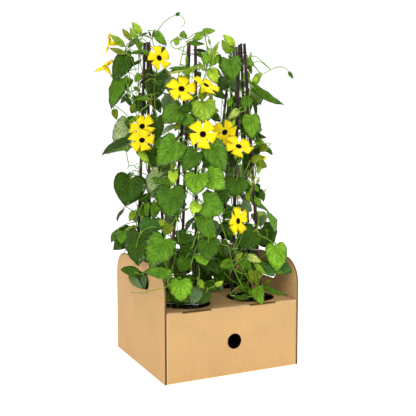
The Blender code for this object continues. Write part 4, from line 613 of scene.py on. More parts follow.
        ("lime bract", 0.5, -3.4, 0, 8.8, 38.9, 9.3, 37.8),
        ("lime bract", 0.6, -2.8, 0, 11.0, 39.3, 10.5, 38.2),
        ("light", 0.7, -2.6, 0, 9.5, 37.4, 8.7, 35.9),
        ("bright", 0.8, -2.2, 0, 10.3, 37.8, 10.9, 36.2),
        ("bright", 1.4, -2.8, 10, 10.3, 35.2, 11.3, 33.3),
        ("deep", 1.3, -2.4, 0, 12.0, 36.4, 10.8, 34.9),
    ),
    ("front_right", 2): (
        ("mid", 2.8, -2.5, 0, 12.6, 21.0, 18.0, 19.2),
        ("deep", 1.5, -7.6, 60, 5.6, 14.2, 8.4, 13.5),
        ("dark heart", 2.8, 1.6, 0, 7.4, 19.4, 6.8, 15.6),
        ("deep toothed", 2.8, 1.2, 10, 8.8, 21.6, 9.2, 17.6),
        ("mid", 2.2, -1.0, -10, 7.2, 16.8, 8.4, 14.4),
        ("dark", 1.6, 0.4, 0, 6.6, 44.9, 5.6, 42.0),
        ("dark", 1.9, 0.6, 10, 8.6, 44.4, 8.4, 41.0),
        ("dark", 1.7, 0.4, 0, 10.4, 46.4, 10.8, 44.2),
    ),
}

# What is tried, in turn, to find a leaf in the frame: depth (cm) and roll (degrees)
NUDGES = (0.0, -0.6, 0.6, -1.2, 1.2, -1.8, 1.8, -2.4, 2.4, -3.2, 3.2)
ROLLS = (0, 24, -24)
SAME_PLACE = 0.0003
JOINTS_TRIED = 3
JOINT_ABOVE_COST = 0.8
JOINT_SHARED_COST = 0.010

# Every large leaf in front has one behind it that faces the other way: sizes and depths in cm; the
# bounds part the back's plants in the front view
REAR_SMALLEST_WIDTH = 2.4
REAR_SCALE = 0.86
REAR_DEPTH = 5.0
REAR_SWAY = 1.6
REAR_DIVE = 1.2
REAR_ROLL = 22
REAR_BOUNDS = (-9.0, 8.5)

# Leaves inside the plants, round each cane (m): heights, distance from the cane, length and tones; the
# low ones are closer together and reach further out
GOLDEN_ANGLE = math.radians(137.5)
INNER_LOWEST = 0.150
INNER_BELOW_TOP = 0.10
INNER_SPACING = 0.030
INNER_REACH = (0.012, 0.030)
INNER_LENGTH = (0.026, 0.022)
LOW_TOP = 0.29
LOW_CLOSER = 0.52
LOW_WIDER = 1.5
INNER_TOWARDS_VIEWER = -0.55
FLOWER_CLEARANCE = 0.012
DECK_CLEARANCE = 0.006
END_CLEAR_X = 0.135
INNER_TONES = ("dark", "deep", "mid", "dark", "deep", "dark", "mid", "blue")

# Where the front view looks right through the plants: across, up and radius, in cm
OPEN_SPACES = (
    (-18.8, 53.0, 2.0), (-8.1, 50.7, 1.6), (2.3, 55.0, 2.2), (-15.9, 42.3, 1.6), (-11.6, 42.0, 1.6),
    (18.0, 48.0, 3.5), (17.0, 41.0, 3.0), (16.5, 35.0, 2.5), (14.5, 55.0, 1.5), (3.5, 67.0, 2.5),
    (-6.5, 72.0, 4.0), (-19.5, 58.5, 1.0), (-4.0, 63.0, 1.2),
)

# A leaf's rise along its midrib and at its sides, as parts of its length and width
LEAF_ARCH = 0.07
LEAF_FOLD = 0.22
LEAF_CREASE = 0.03
LEAF_WAVE = 0.030
LEAF_DROOP = 0.16
LEAF_CURL = 0.10
LEAF_HALF_THICKNESS = 0.00035
LEAF_SHOULDER = (0.20, 0.48)
LEAF_STALK_X = 0.13

# Half of a leaf's edge from the stalk round to the tip: along the midrib and out to the side, as
# parts of the length and of the width
LEAF_EDGES = {
    "heart": (
        (0.08, 0.00), (0.00, 0.09), (-0.06, 0.21), (-0.05, 0.34), (0.04, 0.45), (0.18, 0.50), (0.34, 0.51),
        (0.50, 0.475), (0.65, 0.39), (0.79, 0.27), (0.91, 0.13), (1.00, 0.00),
    ),
    "toothed": (
        (0.09, 0.00), (0.00, 0.12), (-0.07, 0.24), (-0.03, 0.34), (0.00, 0.46), (0.09, 0.455), (0.17, 0.535),
        (0.28, 0.49), (0.38, 0.54), (0.49, 0.455), (0.60, 0.45), (0.71, 0.33), (0.83, 0.26), (0.91, 0.12),
        (1.00, 0.00),
    ),
    "lobed": (
        (0.10, 0.00), (0.02, 0.14), (-0.09, 0.27), (-0.02, 0.40), (0.05, 0.53), (0.16, 0.50), (0.30, 0.50),
        (0.46, 0.545), (0.55, 0.48), (0.66, 0.38), (0.80, 0.29), (0.90, 0.13), (1.00, 0.00),
    ),
    "small": (
        (0.06, 0.00), (-0.03, 0.18), (0.02, 0.36), (0.18, 0.48), (0.40, 0.50), (0.64, 0.39), (0.86, 0.19),
        (1.00, 0.00),
    ),
    "bract": (
        (0.00, 0.00), (0.03, 0.20), (0.14, 0.38), (0.34, 0.50), (0.56, 0.47), (0.77, 0.30), (0.92, 0.12),
        (1.00, 0.00),
    ),
}
LEAF_RINGS = {"heart": 4, "toothed": 4, "lobed": 4, "small": 3, "bract": 4}
LARGE_LEAVES = ("toothed", "heart", "lobed")
LARGE_SPREAD = 1.08
BRACT_SWELL = 0.26
SMALL_LEAF_WIDTH = 1.7

# Flowers: half of a petal's edge from its side to its middle, as degrees from the middle and as a part
# of the flower's radius; then the throat and the tube behind it, as radius and height (m)
PETALS = 5
PETAL_EDGE = (
    (36.0, 0.38), (33.0, 0.52), (30.5, 0.69), (28.5, 0.88), (24.5, 1.03), (18.5, 0.965), (12.0, 0.99),
    (5.0, 0.925), (0.0, 0.955),
)
# The side of each flower that one petal points to, anticlockwise from the right as the viewer sees it
FLOWER_PHASES = {
    "flower_top_left": 24, "flower_upper_left": 2, "flower_upper_middle": -30, "flower_left_upper": 41,
    "flower_left_lower": 6, "flower_middle": 56, "flower_middle_right": 75, "flower_right": 37,
    "flower_low_right": 88, "flower_side_upper": 20, "flower_side_lower": 10,
}
PETAL_SKEW = 0.10
PETAL_ARCH = 0.0022
PETAL_RINGS = 4
THROAT_RADIUS = 0.0056
THROAT = ((0.0, -0.0090), (0.0036, -0.0075), (0.0050, -0.0030))
TUBE = ((0.0054, -0.0060), (0.0048, -0.0120), (0.0034, -0.0180), (0.0, -0.0220))
FLOWER_TUBE = 0.022
PETAL_THICKNESS = 0.0006
FINE_SWELL = 1.25
CALYX_HALF = 0.006
CALYX_SWELL = 1.35
CALYX_RADIUS = 0.0042
CALYX_SIDES = 10
CALYX_RINGS = 8
BUD_HALF = 0.0072
BUD_RADIUS = 0.0042
BUD_SIDES = 15
BUD_RINGS = 10
# A petal's bend (m): the rise halfway along it, the rise of its end, how much that differs, its waves
PETAL_CUP = 0.0016
PETAL_LIFT = 0.002
PETAL_LIFT_RANGE = 0.0024
PETAL_RUFFLE = 0.0010
# A flower this wide has a throat and tube of full size
FULL_FLOWER = 0.05

# Materials of a shoot's tubes
STEM_FINISHES = {"green": 0, "pale": 1, "brown": 2}
PALE_STALKED = ("pale", "lime", "light", "bright")


def linear(code):
    """The linear colour of an sRGB hex code."""
    channels = [int(code[i:i + 2], 16) / 255 for i in (1, 3, 5)]
    return tuple(c / 12.92 if c <= 0.04045 else ((c + 0.055) / 1.055) ** 2.4 for c in channels) + (1.0,)


# Leaf tones, from new growth to old leaves in the shade, and the backs that face the viewer
TONES = {
    "pale": linear("#BED462"),
    "lime": linear("#A0C828"),
    "light": linear("#84B024"),
    "bright": linear("#669E10"),
    "mid": linear("#487C08"),
    "deep": linear("#366402"),
    "dark": linear("#284E00"),
    "olive": linear("#748A10"),
    "under": linear("#8AA068"),
    "grey": linear("#58744A"),
    "blue": linear("#326620"),
}


class CarrierSettings(bpy.types.PropertyGroup):
    """Sizes and colours of the carrier."""

    board: bpy.props.FloatProperty(
        name="Board", description="Thickness of the corrugated board", default=0.004, unit="LENGTH",
    )
    edge_wear: bpy.props.FloatProperty(
        name="Edge wear", description="Radius that folding and handling give the edges",
        default=0.0006, unit="LENGTH",
    )
    board_colour: bpy.props.FloatVectorProperty(
        name="Board colour", description="Colour of the kraft liner", subtype="COLOR", size=4,
        default=linear("#CBA36E"),
    )


class PlantSettings(bpy.types.PropertyGroup):
    """Sizes and colours of the plants and of what carries them."""

    cane_radius: bpy.props.FloatProperty(
        name="Cane radius", description="Radius of a bamboo cane", default=0.00325, unit="LENGTH",
    )
    wire_radius: bpy.props.FloatProperty(
        name="Wire radius", description="Radius of the hoops and ties", default=0.0007, unit="LENGTH",
    )
    stem_radius: bpy.props.FloatProperty(
        name="Stem radius", description="Radius of a shoot at its foot", default=0.0013, unit="LENGTH",
    )
    petiole_radius: bpy.props.FloatProperty(
        name="Stalk radius", description="Radius of a leaf stalk", default=0.0009, unit="LENGTH",
    )
    petal_colour: bpy.props.FloatVectorProperty(
        name="Petal colour", description="Colour of the petals", subtype="COLOR", size=4,
        default=linear("#FFE600"),
    )
    throat_colour: bpy.props.FloatVectorProperty(
        name="Throat colour", description="Colour of the flower's throat", subtype="COLOR", size=4,
        default=linear("#1C0508"),
    )


class StageSettings(bpy.types.PropertyGroup):
    """The floor and the light."""

    floor_colour: bpy.props.FloatVectorProperty(
        name="Floor colour", description="Colour of the floor", subtype="COLOR", size=4,
        default=linear("#FAFAF8"),
    )
    surround: bpy.props.FloatProperty(
        name="Surround", description="Strength of the light from all round", default=1.06, min=0.0,
    )
    ceiling: bpy.props.FloatProperty(
        name="Ceiling", description="Strength of the light from above", default=0.36, min=0.0,
    )
    key_power: bpy.props.FloatProperty(
        name="Key light", description="Power of the large soft light", default=34.0, unit="POWER",
    )


def heading(angle):
    """The level direction at an angle."""
    return Vector((math.cos(angle), math.sin(angle), 0.0))


def at_height(height):
    return Vector((0.0, 0.0, height))


def around_axis(middle, radius, angle, height):
    return middle + Vector((radius * math.cos(angle), radius * math.sin(angle), height))


def settings(group):
    return getattr(bpy.context.scene, "vines_" + group)


def deselect_all():
    if bpy.context.object and bpy.context.object.mode != "OBJECT":
        bpy.ops.object.mode_set(mode="OBJECT")
    bpy.ops.object.select_all(action="DESELECT")


def pick(*pieces):
    deselect_all()
    for piece in pieces:
        piece.select_set(True)
    bpy.context.view_layer.objects.active = pieces[0]


def apply_modifier(piece, kind, **values):
    pick(piece)
    modifier = piece.modifiers.new(kind.lower(), kind)
    for name, value in values.items():
        setattr(modifier, name, value)
    bpy.ops.object.modifier_apply(modifier=modifier.name)


def close_up(piece, distance=1e-6):
    """Merges corners that meet and turns the faces outwards."""
    pick(piece)
    bpy.ops.object.mode_set(mode="EDIT")
    bpy.ops.mesh.select_all(action="SELECT")
    bpy.ops.mesh.remove_doubles(threshold=distance)
    bpy.ops.mesh.normals_make_consistent(inside=False)
    bpy.ops.object.mode_set(mode="OBJECT")


def join(pieces, name):
    pick(*pieces)
    if len(pieces) > 1:
        bpy.ops.object.join()
    pieces[0].name = name
    return pieces[0]


def hand_over(piece, nodes, materials=()):
    """Makes a piece ride on the part and stand for its nodes."""
    if materials:
        piece.data.materials.clear()
        for material in materials:
            piece.data.materials.append(material)
    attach(piece, "root")
    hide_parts(*nodes)
    return piece


def rolled_grid(name, around, along, corner, merge=1e-6):
    """A grid rolled up and closed: corner(i, j) places its corners, i round it and j along it."""
    deselect_all()
    bpy.ops.mesh.primitive_grid_add(x_subdivisions=around, y_subdivisions=along, size=2.0)
    piece = bpy.context.object
    piece.name = name
    mesh = piece.data
    steps = [
        (round((vert.co.x + 1) / 2 * around), round((vert.co.y + 1) / 2 * along)) for vert in mesh.vertices
    ]
    for vert, (i, j) in zip(mesh.vertices, steps):
        vert.co = corner(i, j)
    close_up(piece, merge)
    bpy.ops.object.shade_smooth()
    return piece


def box(name, low, high):
    low = Vector(low)
    high = Vector(high)
    deselect_all()
    bpy.ops.mesh.primitive_cube_add(size=1.0, location=(low + high) / 2, scale=high - low)
    bpy.ops.object.transform_apply(location=True, rotation=True, scale=True)
    bpy.context.object.name = name
    return bpy.context.object


def cut(piece, cutter):
    apply_modifier(piece, "BOOLEAN", operation="DIFFERENCE", solver="EXACT", object=cutter)
    bpy.data.objects.remove(cutter, do_unlink=True)


def bevel_edges(piece, offset, segments, wanted):
    """Rounds the edges that wanted(start, end) names."""
    pick(piece)
    for edge in piece.data.edges:
        edge.select = wanted(*(piece.data.vertices[index].co for index in edge.vertices))
    for face in piece.data.polygons:
        face.select = False
    bpy.ops.object.mode_set(mode="EDIT")
    bpy.ops.mesh.select_mode(type="EDGE")
    bpy.ops.mesh.bevel(offset=offset, segments=segments, affect="EDGES")
    bpy.ops.object.mode_set(mode="OBJECT")


def tube(name, routes):
    """Closed tubes: each route is its points, a radius for every point, whether it is a ring, its finish."""
    deselect_all()
    bpy.ops.curve.primitive_nurbs_path_add()
    piece = bpy.context.object
    piece.name = name
    curve = piece.data
    curve.splines.clear()
    curve.dimensions = "3D"
    curve.bevel_depth = 1.0
    curve.bevel_resolution = 1
    curve.use_fill_caps = True
    for points, radii, ring, finish in routes:
        spline = curve.splines.new("POLY")
        spline.points.add(len(points) - 1)
        for index, point in enumerate(points):
            spline.points[index].co = (*point, 1.0)
            spline.points[index].radius = radii[index]
        spline.use_cyclic_u = ring
        spline.material_index = finish
    bpy.ops.object.convert(target="MESH")
    close_up(bpy.context.object)
    bpy.ops.object.shade_smooth()
    return bpy.context.object


def smooth_path(points, steps):
    """A smooth line through points, with that many steps from each to the next."""
    ends = [points[0] * 2 - points[1]] + list(points) + [points[-1] * 2 - points[-2]]
    line = []
    for before, start, end, after in zip(ends, ends[1:], ends[2:], ends[3:]):
        for step in range(steps):
            t = step / steps
            line.append(
                0.5 * (
                    2 * start + (end - before) * t
                    + (2 * before - 5 * start + 4 * end - after) * t ** 2
                    + (3 * start - before - 3 * end + after) * t ** 3
                )
            )
    line.append(points[-1].copy())
    return line


def view_axes():
    forward = Vector((
        math.sin(VIEW_TURN) * math.cos(VIEW_DIP),
        math.cos(VIEW_TURN) * math.cos(VIEW_DIP),
        -math.sin(VIEW_DIP),
    ))
    right = Vector((math.cos(VIEW_TURN), -math.sin(VIEW_TURN), 0.0))
    return right, right.cross(forward), forward


RIGHT, UP, FORWARD = view_axes()


def seen_at(across, up, depth):
    """The place that the front view shows at across, up and depth, all in cm."""
    side = RIGHT * (across * CM / VIEW_REACH)
    rise = UP * ((up * CM - VIEW_MID_UP) / VIEW_REACH)
    return VIEW_POINT + (VIEW_REACH + depth * CM) * (FORWARD + side + rise)


def seen_from_front(place):
    """Where the front view shows a place: across and up, in cm."""
    away = place - VIEW_POINT
    ahead = away.dot(FORWARD)
    return (
        away.dot(RIGHT) / ahead * VIEW_REACH / CM,
        (away.dot(UP) / ahead * VIEW_REACH + VIEW_MID_UP) / CM,
    )


def cane_at(plant, cane, height):
    foot, head = PLANTS[plant]["canes"][cane]
    pot = Vector((*PLANTS[plant]["pot"], 0)) * CM
    low = pot + Vector((foot[0] * CM, foot[1] * CM, CANE_LEVELS[0]))
    high = pot + Vector((head[0] * CM, head[1] * CM, CANE_LEVELS[1]))
    return low.lerp(high, (height - low.z) / (high.z - low.z))


def canes_middle(plant, height):
    return sum((cane_at(plant, cane, height) for cane in range(3)), Vector((0, 0, 0))) / 3


def twine(plant, cane, steps):
    """The stem's points round its cane; it passes inside the hoops at their heights."""
    points = []
    height = SOIL_TOP + 0.004
    inward = canes_middle(plant, HOOP_LOW_Z) - cane_at(plant, cane, HOOP_LOW_Z)
    start = math.atan2(inward.y, inward.x)
    while height <= TWINE_TOP:
        angle = start + 2 * math.pi * (height - HOOP_LOW_Z) / TWINE_PITCH
        points.append(cane_at(plant, cane, height) + TWINE_RADIUS * heading(angle))
        height += TWINE_PITCH / steps
    return points


def shoot_name(plant, cane):
    return f"shoot_{plant}_{cane + 1}"


def face_axis(turn, tilt):
    """The way a flower faces: towards the viewer, turned to the right and tilted upwards."""
    turn = math.radians(turn)
    tilt = math.radians(tilt)
    level = -FORWARD * math.cos(turn) + RIGHT * math.sin(turn)
    return (level * math.cos(tilt) + UP * math.sin(tilt)).normalized()


def leaf_frame(base, tip, facing, roll):
    """A leaf's three directions: along its midrib, across it and out of its upper face."""
    along = tip - base
    across = facing.cross(along).normalized()
    across = Matrix.Rotation(math.radians(roll), 3, along.normalized()) @ across
    return along, across, along.cross(across).normalized()


def leaf_rise(x, y, length, width, crease=0.0):
    """How far a leaf's face stands out at x along it and y across it."""
    fold = math.sqrt(y * y + crease * crease) - crease
    return LEAF_ARCH * length * 4 * x * (1 - x) + LEAF_FOLD * fold * width


def leaf_point(axes, base, width, x, y, crease=0.0):
    along, across, out = axes
    return base + along * x + across * (y * width) + out * leaf_rise(x, y, along.length, width, crease)


def rear_row(index, row):
    """The leaf behind a large leaf of the front view, on the plant that stands there."""
    base_across, base_up, tip_across, tip_up, width = row[1:6]
    middle_across = (base_across + tip_across) / 2
    middle_up = (base_up + tip_up) / 2
    if middle_across < REAR_BOUNDS[0]:
        plant = "back_left"
    elif middle_across < REAR_BOUNDS[1]:
        plant = "back_right"
    else:
        plant = "front_right" if index % 2 else "back_right"
    ends = [
        middle + (end - middle) * REAR_SCALE
        for end, middle in (
            (base_across, middle_across),
            (base_up, middle_up),
            (tip_across, middle_across),
            (tip_up, middle_up),
        )
    ]
    depth = REAR_DEPTH + REAR_SWAY * math.sin(2.4 * index)
    dive = REAR_DIVE * math.cos(1.7 * index)
    roll = REAR_ROLL * math.sin(1.3 * index)
    return (plant, *ends, width * REAR_SCALE, depth, dive, roll)


class Growth:
    """Where each shoot, flower and leaf of the frame is, and which joint it grows from."""

    def __init__(self):
        self.joints = {}
        self.stems = {}
        self.uses = {}
        self.leaves = []
        self.flowers = []
        for plant, facts in PLANTS.items():
            for cane in range(3):
                free = [seen_at(a, u, facts["depth"] + d) for a, u, d in CROWNS[plant, cane]]
                coarse = twine(plant, cane, TWINE_STEPS)
                foot = Vector((coarse[0].x, coarse[0].y, STEM_FOOT_Z))
                self.joints[plant, cane] = [[foot] + coarse + free]
                self.stems[plant, cane] = [(foot, twine(plant, cane, 2 * TWINE_STEPS), free)]
        for plant, cane, height, route in SIDE_SHOOTS:
            joint = min(self.joints[plant, cane][0][1:-4], key=lambda place: abs(place.z - height * CM))
            points = [seen_at(a, u, PLANTS[plant]["depth"] + d) for a, u, d in route]
            self.joints[plant, cane].append([joint, joint] + points)
            self.stems[plant, cane].append((joint, [], points))
        self.find_flowers()
        self.find_leaves()
        self.add_small_growth()
        self.add_inner_leaves()

    def joints_near(self, plant, base):
        """Places on a plant's stems, the best one for a stalk that ends at base first."""
        found = []
        for (owner, cane), chains in self.joints.items():
            if owner != plant:
                continue
            for chain in chains:
                for place in chain[2:]:
                    cost = (place - base).length + JOINT_ABOVE_COST * max(0.0, place.z - base.z)
                    cost += JOINT_SHARED_COST * self.uses.get(tuple(place), 0)
                    found.append((cost, cane, place))
        found.sort(key=lambda row: row[0])
        return found

    def use(self, joint):
        self.uses[tuple(joint)] = self.uses.get(tuple(joint), 0) + 1

    def find_flowers(self):
        for name, plant, across, up, depth, size, turn, tilt in FLOWERS:
            axis = face_axis(turn, tilt)
            reach = FLOWER_TUBE * min(1.0, size * CM / FULL_FLOWER)
            corners = [vert.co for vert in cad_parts[name].data.vertices]
            places = [seen_at(across, up, PLANTS[plant]["depth"] + depth + nudge) for nudge in NUDGES]
            middle = min(
                places, key=lambda place: min((place - axis * reach - corner).length for corner in corners),
            )
            heel = middle - axis * (reach + 2 * CALYX_HALF + GAP)
            _, cane, joint = self.joints_near(plant, heel)[0]
            self.use(joint)
            self.flowers.append((name, plant, cane, joint, middle, axis, size * CM))

    def find_leaves(self):
        owners = []
        for plant in PLANTS:
            for cane in range(3):
                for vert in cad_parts[shoot_name(plant, cane)].data.vertices:
                    owners.append((vert.co, plant, cane))
        corners = KDTree(len(owners))
        for index, (place, _, _) in enumerate(owners):
            corners.insert(place, index)
        corners.balance()
        rows = [((plant, *row[:-1]), False, row[-1]) for plant, leaves in LEAVES.items() for row in leaves]
        rows += [
            (rear_row(index, row), True, tone) for index, (row, _, tone) in enumerate(rows)
            if row[5] >= REAR_SMALLEST_WIDTH
        ]
        for row, rear, tone in rows:
            found = self.settle(row, rear, corners, owners)
            if found:
                kind = LARGE_LEAVES[len(self.leaves) % 3] if row[5] > SMALL_LEAF_WIDTH else "small"
                self.leaves.append((*found, FORWARD if rear else -FORWARD, tone, kind))

    def settle(self, row, rear, corners, owners):
        """Where the frame holds a leaf, or None where it holds none."""
        plant, base_across, base_up, tip_across, tip_up, width, depth, dive, roll = row
        back = PLANTS[plant]["depth"] + depth
        best = None
        for nudge in NUDGES:
            base = seen_at(base_across, base_up, back + nudge)
            tip = seen_at(tip_across, tip_up, back + nudge + dive)
            _, index, gap = corners.find(tip)
            if gap > SAME_PLACE:
                continue
            for turn in ROLLS:
                axes = leaf_frame(base, tip, FORWARD if rear else -FORWARD, roll + turn)
                x, y = LEAF_SHOULDER
                sides = [leaf_point(axes, base, width * CM, x, side * y) for side in (-1, 1)]
                miss = min(corners.find(side)[2] for side in sides)
                if best is None or miss < best[0]:
                    best = (miss, owners[index][2], base, tip, roll + turn)
        if best is None:
            return None
        _, cane, base, tip, roll = best
        near = self.joints_near(plant, base)
        own = [joint for _, other, joint in near[:JOINTS_TRIED] if other == cane]
        joint = own[0] if own else next(joint for _, other, joint in near if other == cane)
        self.use(joint)
        return plant, cane, joint, base, tip, width * CM, roll

    def add_small_growth(self):
        for (plant, cane), rows in SMALL_GROWTH.items():
            for look, width, depth, roll, *ends in rows:
                tone, kind = (look.split() + ["small"])[:2]
                back = PLANTS[plant]["depth"] + depth
                base = seen_at(ends[0], ends[1], back)
                tip = seen_at(ends[2], ends[3], back)
                joint = next(place for _, other, place in self.joints_near(plant, base) if other == cane)
                self.use(joint)
                self.leaves.append((plant, cane, joint, base, tip, width * CM, roll, -FORWARD, tone, kind))

    def add_inner_leaves(self):
        """Leaves close to the canes that the frame is too coarse for: they fill the plants from inside."""
        number = 0
        for (plant, cane), chains in self.joints.items():
            top = PLANTS[plant]["top"] - INNER_BELOW_TOP
            height = INNER_LOWEST
            while height < top:
                number += 1
                low = height < LOW_TOP
                step = INNER_SPACING * (0.8 + 0.4 * math.sin(1.9 * number) ** 2)
                height += step * (LOW_CLOSER if low else 1.0)
                outward = heading(GOLDEN_ANGLE * number)
                if plant.startswith("front") and outward.dot(FORWARD) < INNER_TOWARDS_VIEWER:
                    continue
                axis = cane_at(plant, cane, height)
                reach = INNER_REACH[0] + INNER_REACH[1] * (0.5 + 0.5 * math.sin(2.7 * number))
                reach *= LOW_WIDER if low else 1.0
                length = INNER_LENGTH[0] + INNER_LENGTH[1] * (0.5 + 0.5 * math.sin(4.1 * number))
                base = axis + outward * reach
                droop = at_height(-0.9 - 0.5 * math.sin(3.3 * number))
                tip = base + (outward * 0.8 + droop).normalized() * length
                if any(self.in_the_way(place) for place in (base, base.lerp(tip, 0.5), tip)):
                    continue
                too_low = min(base.z, tip.z) < DECK_Z + DECK_CLEARANCE
                if too_low or (max(abs(base.x), abs(tip.x)) > END_CLEAR_X and tip.z < END_Z):
                    continue
                facing = (outward + at_height(0.45)).normalized()
                joint = min(chains[0][1:], key=lambda place: (place - axis - at_height(-0.01)).length)
                tone = INNER_TONES[number % len(INNER_TONES)]
                roll = 18 * math.sin(5.3 * number)
                kind = LARGE_LEAVES[number % 3]
                self.leaves.append((plant, cane, joint, base, tip, length * 0.92, roll, facing, tone, kind))

    def in_the_way(self, place):
        """Whether a leaf there would hide a flower, or a space that the front view looks right through."""
        across, up = seen_from_front(place)
        if any(math.hypot(across - a, up - u) < reach for a, u, reach in OPEN_SPACES):
            return True
        for _, _, _, _, middle, _, size in self.flowers:
            away = place - middle
            nearer = away.dot(FORWARD) < 0.01
            if nearer and math.hypot(away.dot(RIGHT), away.dot(UP)) < size / 2 + FLOWER_CLEARANCE:
                return True
        return False


GROWTH = Growth()


def add_node(tree, kind, sockets=None, **values):
    """Adds a node with its settings; a socket takes a number, a colour, a node or a node's output."""
    made = tree.nodes.new(kind)
    for name, value in values.items():
        setattr(made, name, value)
    for name, value in (sockets or {}).items():
        if isinstance(value, bpy.types.Node):
            value = value.outputs[0]
        if isinstance(value, bpy.types.NodeSocket):
            tree.links.new(value, made.inputs[name])
        else:
            made.inputs[name].default_value = value
    return made


def object_place(tree):
    return add_node(tree, "ShaderNodeTexCoord").outputs["Object"]


def calc(tree, operation, *values):
    """A sum, product or other result of one to three values."""
    return add_node(tree, "ShaderNodeMath", dict(enumerate(values)), operation=operation)


def remap(tree, value, low, high, to_low, to_high):
    """Turns low to high into to_low to to_high, and holds what lies outside."""
    return add_node(tree, "ShaderNodeMapRange", {0: value, 1: low, 2: high, 3: to_low, 4: to_high})


def blend(tree, share, first, second):
    """The first colour where share is 0 and the second where it is 1."""
    return add_node(tree, "ShaderNodeMix", {0: share, 6: first, 7: second}, data_type="RGBA").outputs[2]


def speckle(tree, place, scale, detail):
    """A noise of that many blobs to the metre."""
    return add_node(tree, "ShaderNodeTexNoise", {"Vector": place, "Scale": scale, "Detail": detail})


def plug(tree, shader, socket, source):
    """Feeds a socket of the shader."""
    if isinstance(source, bpy.types.Node):
        source = source.outputs[0]
    tree.links.new(source, shader.inputs[socket])


def add_relief(tree, shader, height, strength, distance):
    bump = add_node(tree, "ShaderNodeBump", {"Height": height, "Strength": strength, "Distance": distance})
    plug(tree, shader, "Normal", bump)


def set_stops(ramp, *stops):
    """Gives a colour ramp its places and colours."""
    elements = ramp.color_ramp.elements
    while len(elements) < len(stops):
        elements.new(0.5)
    for element, (place, colour) in zip(elements, stops):
        element.position = place
        element.color = colour
    return ramp


def new_material(name, **values):
    made = bpy.data.materials.new(name)
    made.use_nodes = True
    tree = made.node_tree
    shader = tree.nodes["Principled BSDF"]
    for socket, value in values.items():
        shader.inputs[socket.replace("_", " ")].default_value = value
    return made, tree, shader


def kraft_liner():
    """Kraft linerboard: matt brown paper, long fibres, a faint washboard from the flutes below."""
    made, tree, shader = new_material("kraft_linerboard", Roughness=0.88, Specular_IOR_Level=0.25)
    place = object_place(tree)
    # Fibres 1 mm wide and 8 mm long, drawn coarser than real ones so that they show
    long_way = add_node(tree, "ShaderNodeMapping", {"Vector": place, "Scale": (1.0, 1.0, 5.0)})
    fibres = speckle(tree, long_way, 160.0, 4.0)
    # Blotches about 60 mm across, as sun and handling leave
    blotches = speckle(tree, place, 16.0, 3.0)
    colour = settings("carrier").board_colour
    paler = [min(1.0, channel * 1.08) for channel in colour[:3]] + [1.0]
    deeper = [channel * 0.90 for channel in colour[:3]] + [1.0]
    mixed = blend(tree, blotches, deeper, paler)
    flecks = remap(tree, fibres, 0.30, 0.72, 0.88, 1.08)
    toned = add_node(tree, "ShaderNodeHueSaturation", {"Color": mixed, "Value": flecks})
    # The crease across each end panel, 1.6 mm wide, darkened with painted shade
    parts = add_node(tree, "ShaderNodeSeparateXYZ", {0: place})
    off = calc(tree, "SUBTRACT", parts.outputs["Z"], SCORE_Z)
    away = calc(tree, "ABSOLUTE", off)
    crease = remap(tree, away, 0.0003, 0.0011, 1.0, 0.0)
    crease_shade_share = calc(tree, "MULTIPLY", crease, 0.30)
    final = blend(tree, crease_shade_share, toned, linear("#8A6236"))
    # Painted highlight: folds and rounded edges, where the surface looks along no axis, are made paler
    looks = add_node(tree, "ShaderNodeNewGeometry").outputs["Normal"]
    sizes = add_node(tree, "ShaderNodeVectorMath", {0: looks}, operation="ABSOLUTE")
    each = add_node(tree, "ShaderNodeSeparateXYZ", {0: sizes})
    level = calc(tree, "MAXIMUM", each.outputs[0], each.outputs[1])
    most = calc(tree, "MAXIMUM", level, each.outputs[2])
    wear_and_highlight_share = remap(tree, most, 0.80, 0.97, 0.75, 0.0)
    wear_and_highlight = blend(tree, wear_and_highlight_share, final, linear("#F2D8AC"))
    plug(tree, shader, "Base Color", wear_and_highlight)
    flute = calc(tree, "MULTIPLY", parts.outputs["Z"], 2 * math.pi / FLUTE_PITCH)
    wave = calc(tree, "SINE", flute)
    ridge = calc(tree, "MULTIPLY_ADD", wave, 0.10, fibres)
    height = calc(tree, "MULTIPLY_ADD", crease, -2.0, ridge)
    add_relief(tree, shader, height, 0.35, 0.0004)
    return made


def cut_board(name, axis):
    """The cut edge of corrugated board: two liners with a flute waving between them, and painted shade in its
    open hollows.
    """
    made, tree, shader = new_material(name, Roughness=0.95, Specular_IOR_Level=0.15)
    place = object_place(tree)
    parts = add_node(tree, "ShaderNodeSeparateXYZ", {0: place})
    board = settings("carrier").board
    shifted = calc(tree, "ADD", parts.outputs[axis], 1000 * board)
    within = calc(tree, "MODULO", shifted, board)
    across = remap(tree, within, 0.0, board, -1.0, 1.0)
    along = calc(tree, "MULTIPLY", parts.outputs["Z"], 2 * math.pi / FLUTE_PITCH)
    wave = calc(tree, "SINE", along)
    middle = calc(tree, "MULTIPLY_ADD", wave, -0.55, across)
    gap = calc(tree, "ABSOLUTE", middle)
    paper = remap(tree, gap, 0.06, 0.22, 1.0, 0.0)
    side = calc(tree, "ABSOLUTE", across)
    liner = remap(tree, side, 0.78, 0.92, 0.0, 1.0)
    solid = calc(tree, "MAXIMUM", paper, liner)
    # Painted shade: the open hollows of the flute are near black, the paper pale brown
    colour = blend(tree, solid, linear("#1E140A"), linear("#A87C48"))
    plug(tree, shader, "Base Color", colour)
    add_relief(tree, shader, solid, 0.6, 0.0008)
    return made


def pot_plastic():
    """Black polypropylene, vacuum formed: a soft sheen with fine scuffs."""
    made, tree, shader = new_material("black_polypropylene", Specular_IOR_Level=0.4)
    place = object_place(tree)
    scuffs = speckle(tree, place, 220.0, 5.0)
    dust = speckle(tree, place, 30.0, 2.0)
    colour = blend(tree, dust, linear("#101112"), linear("#26231F"))
    plug(tree, shader, "Base Color", colour)
    rough = remap(tree, scuffs, 0.3, 0.7, 0.34, 0.58)
    plug(tree, shader, "Roughness", rough)
    add_relief(tree, shader, scuffs, 0.15, 0.0002)
    return made


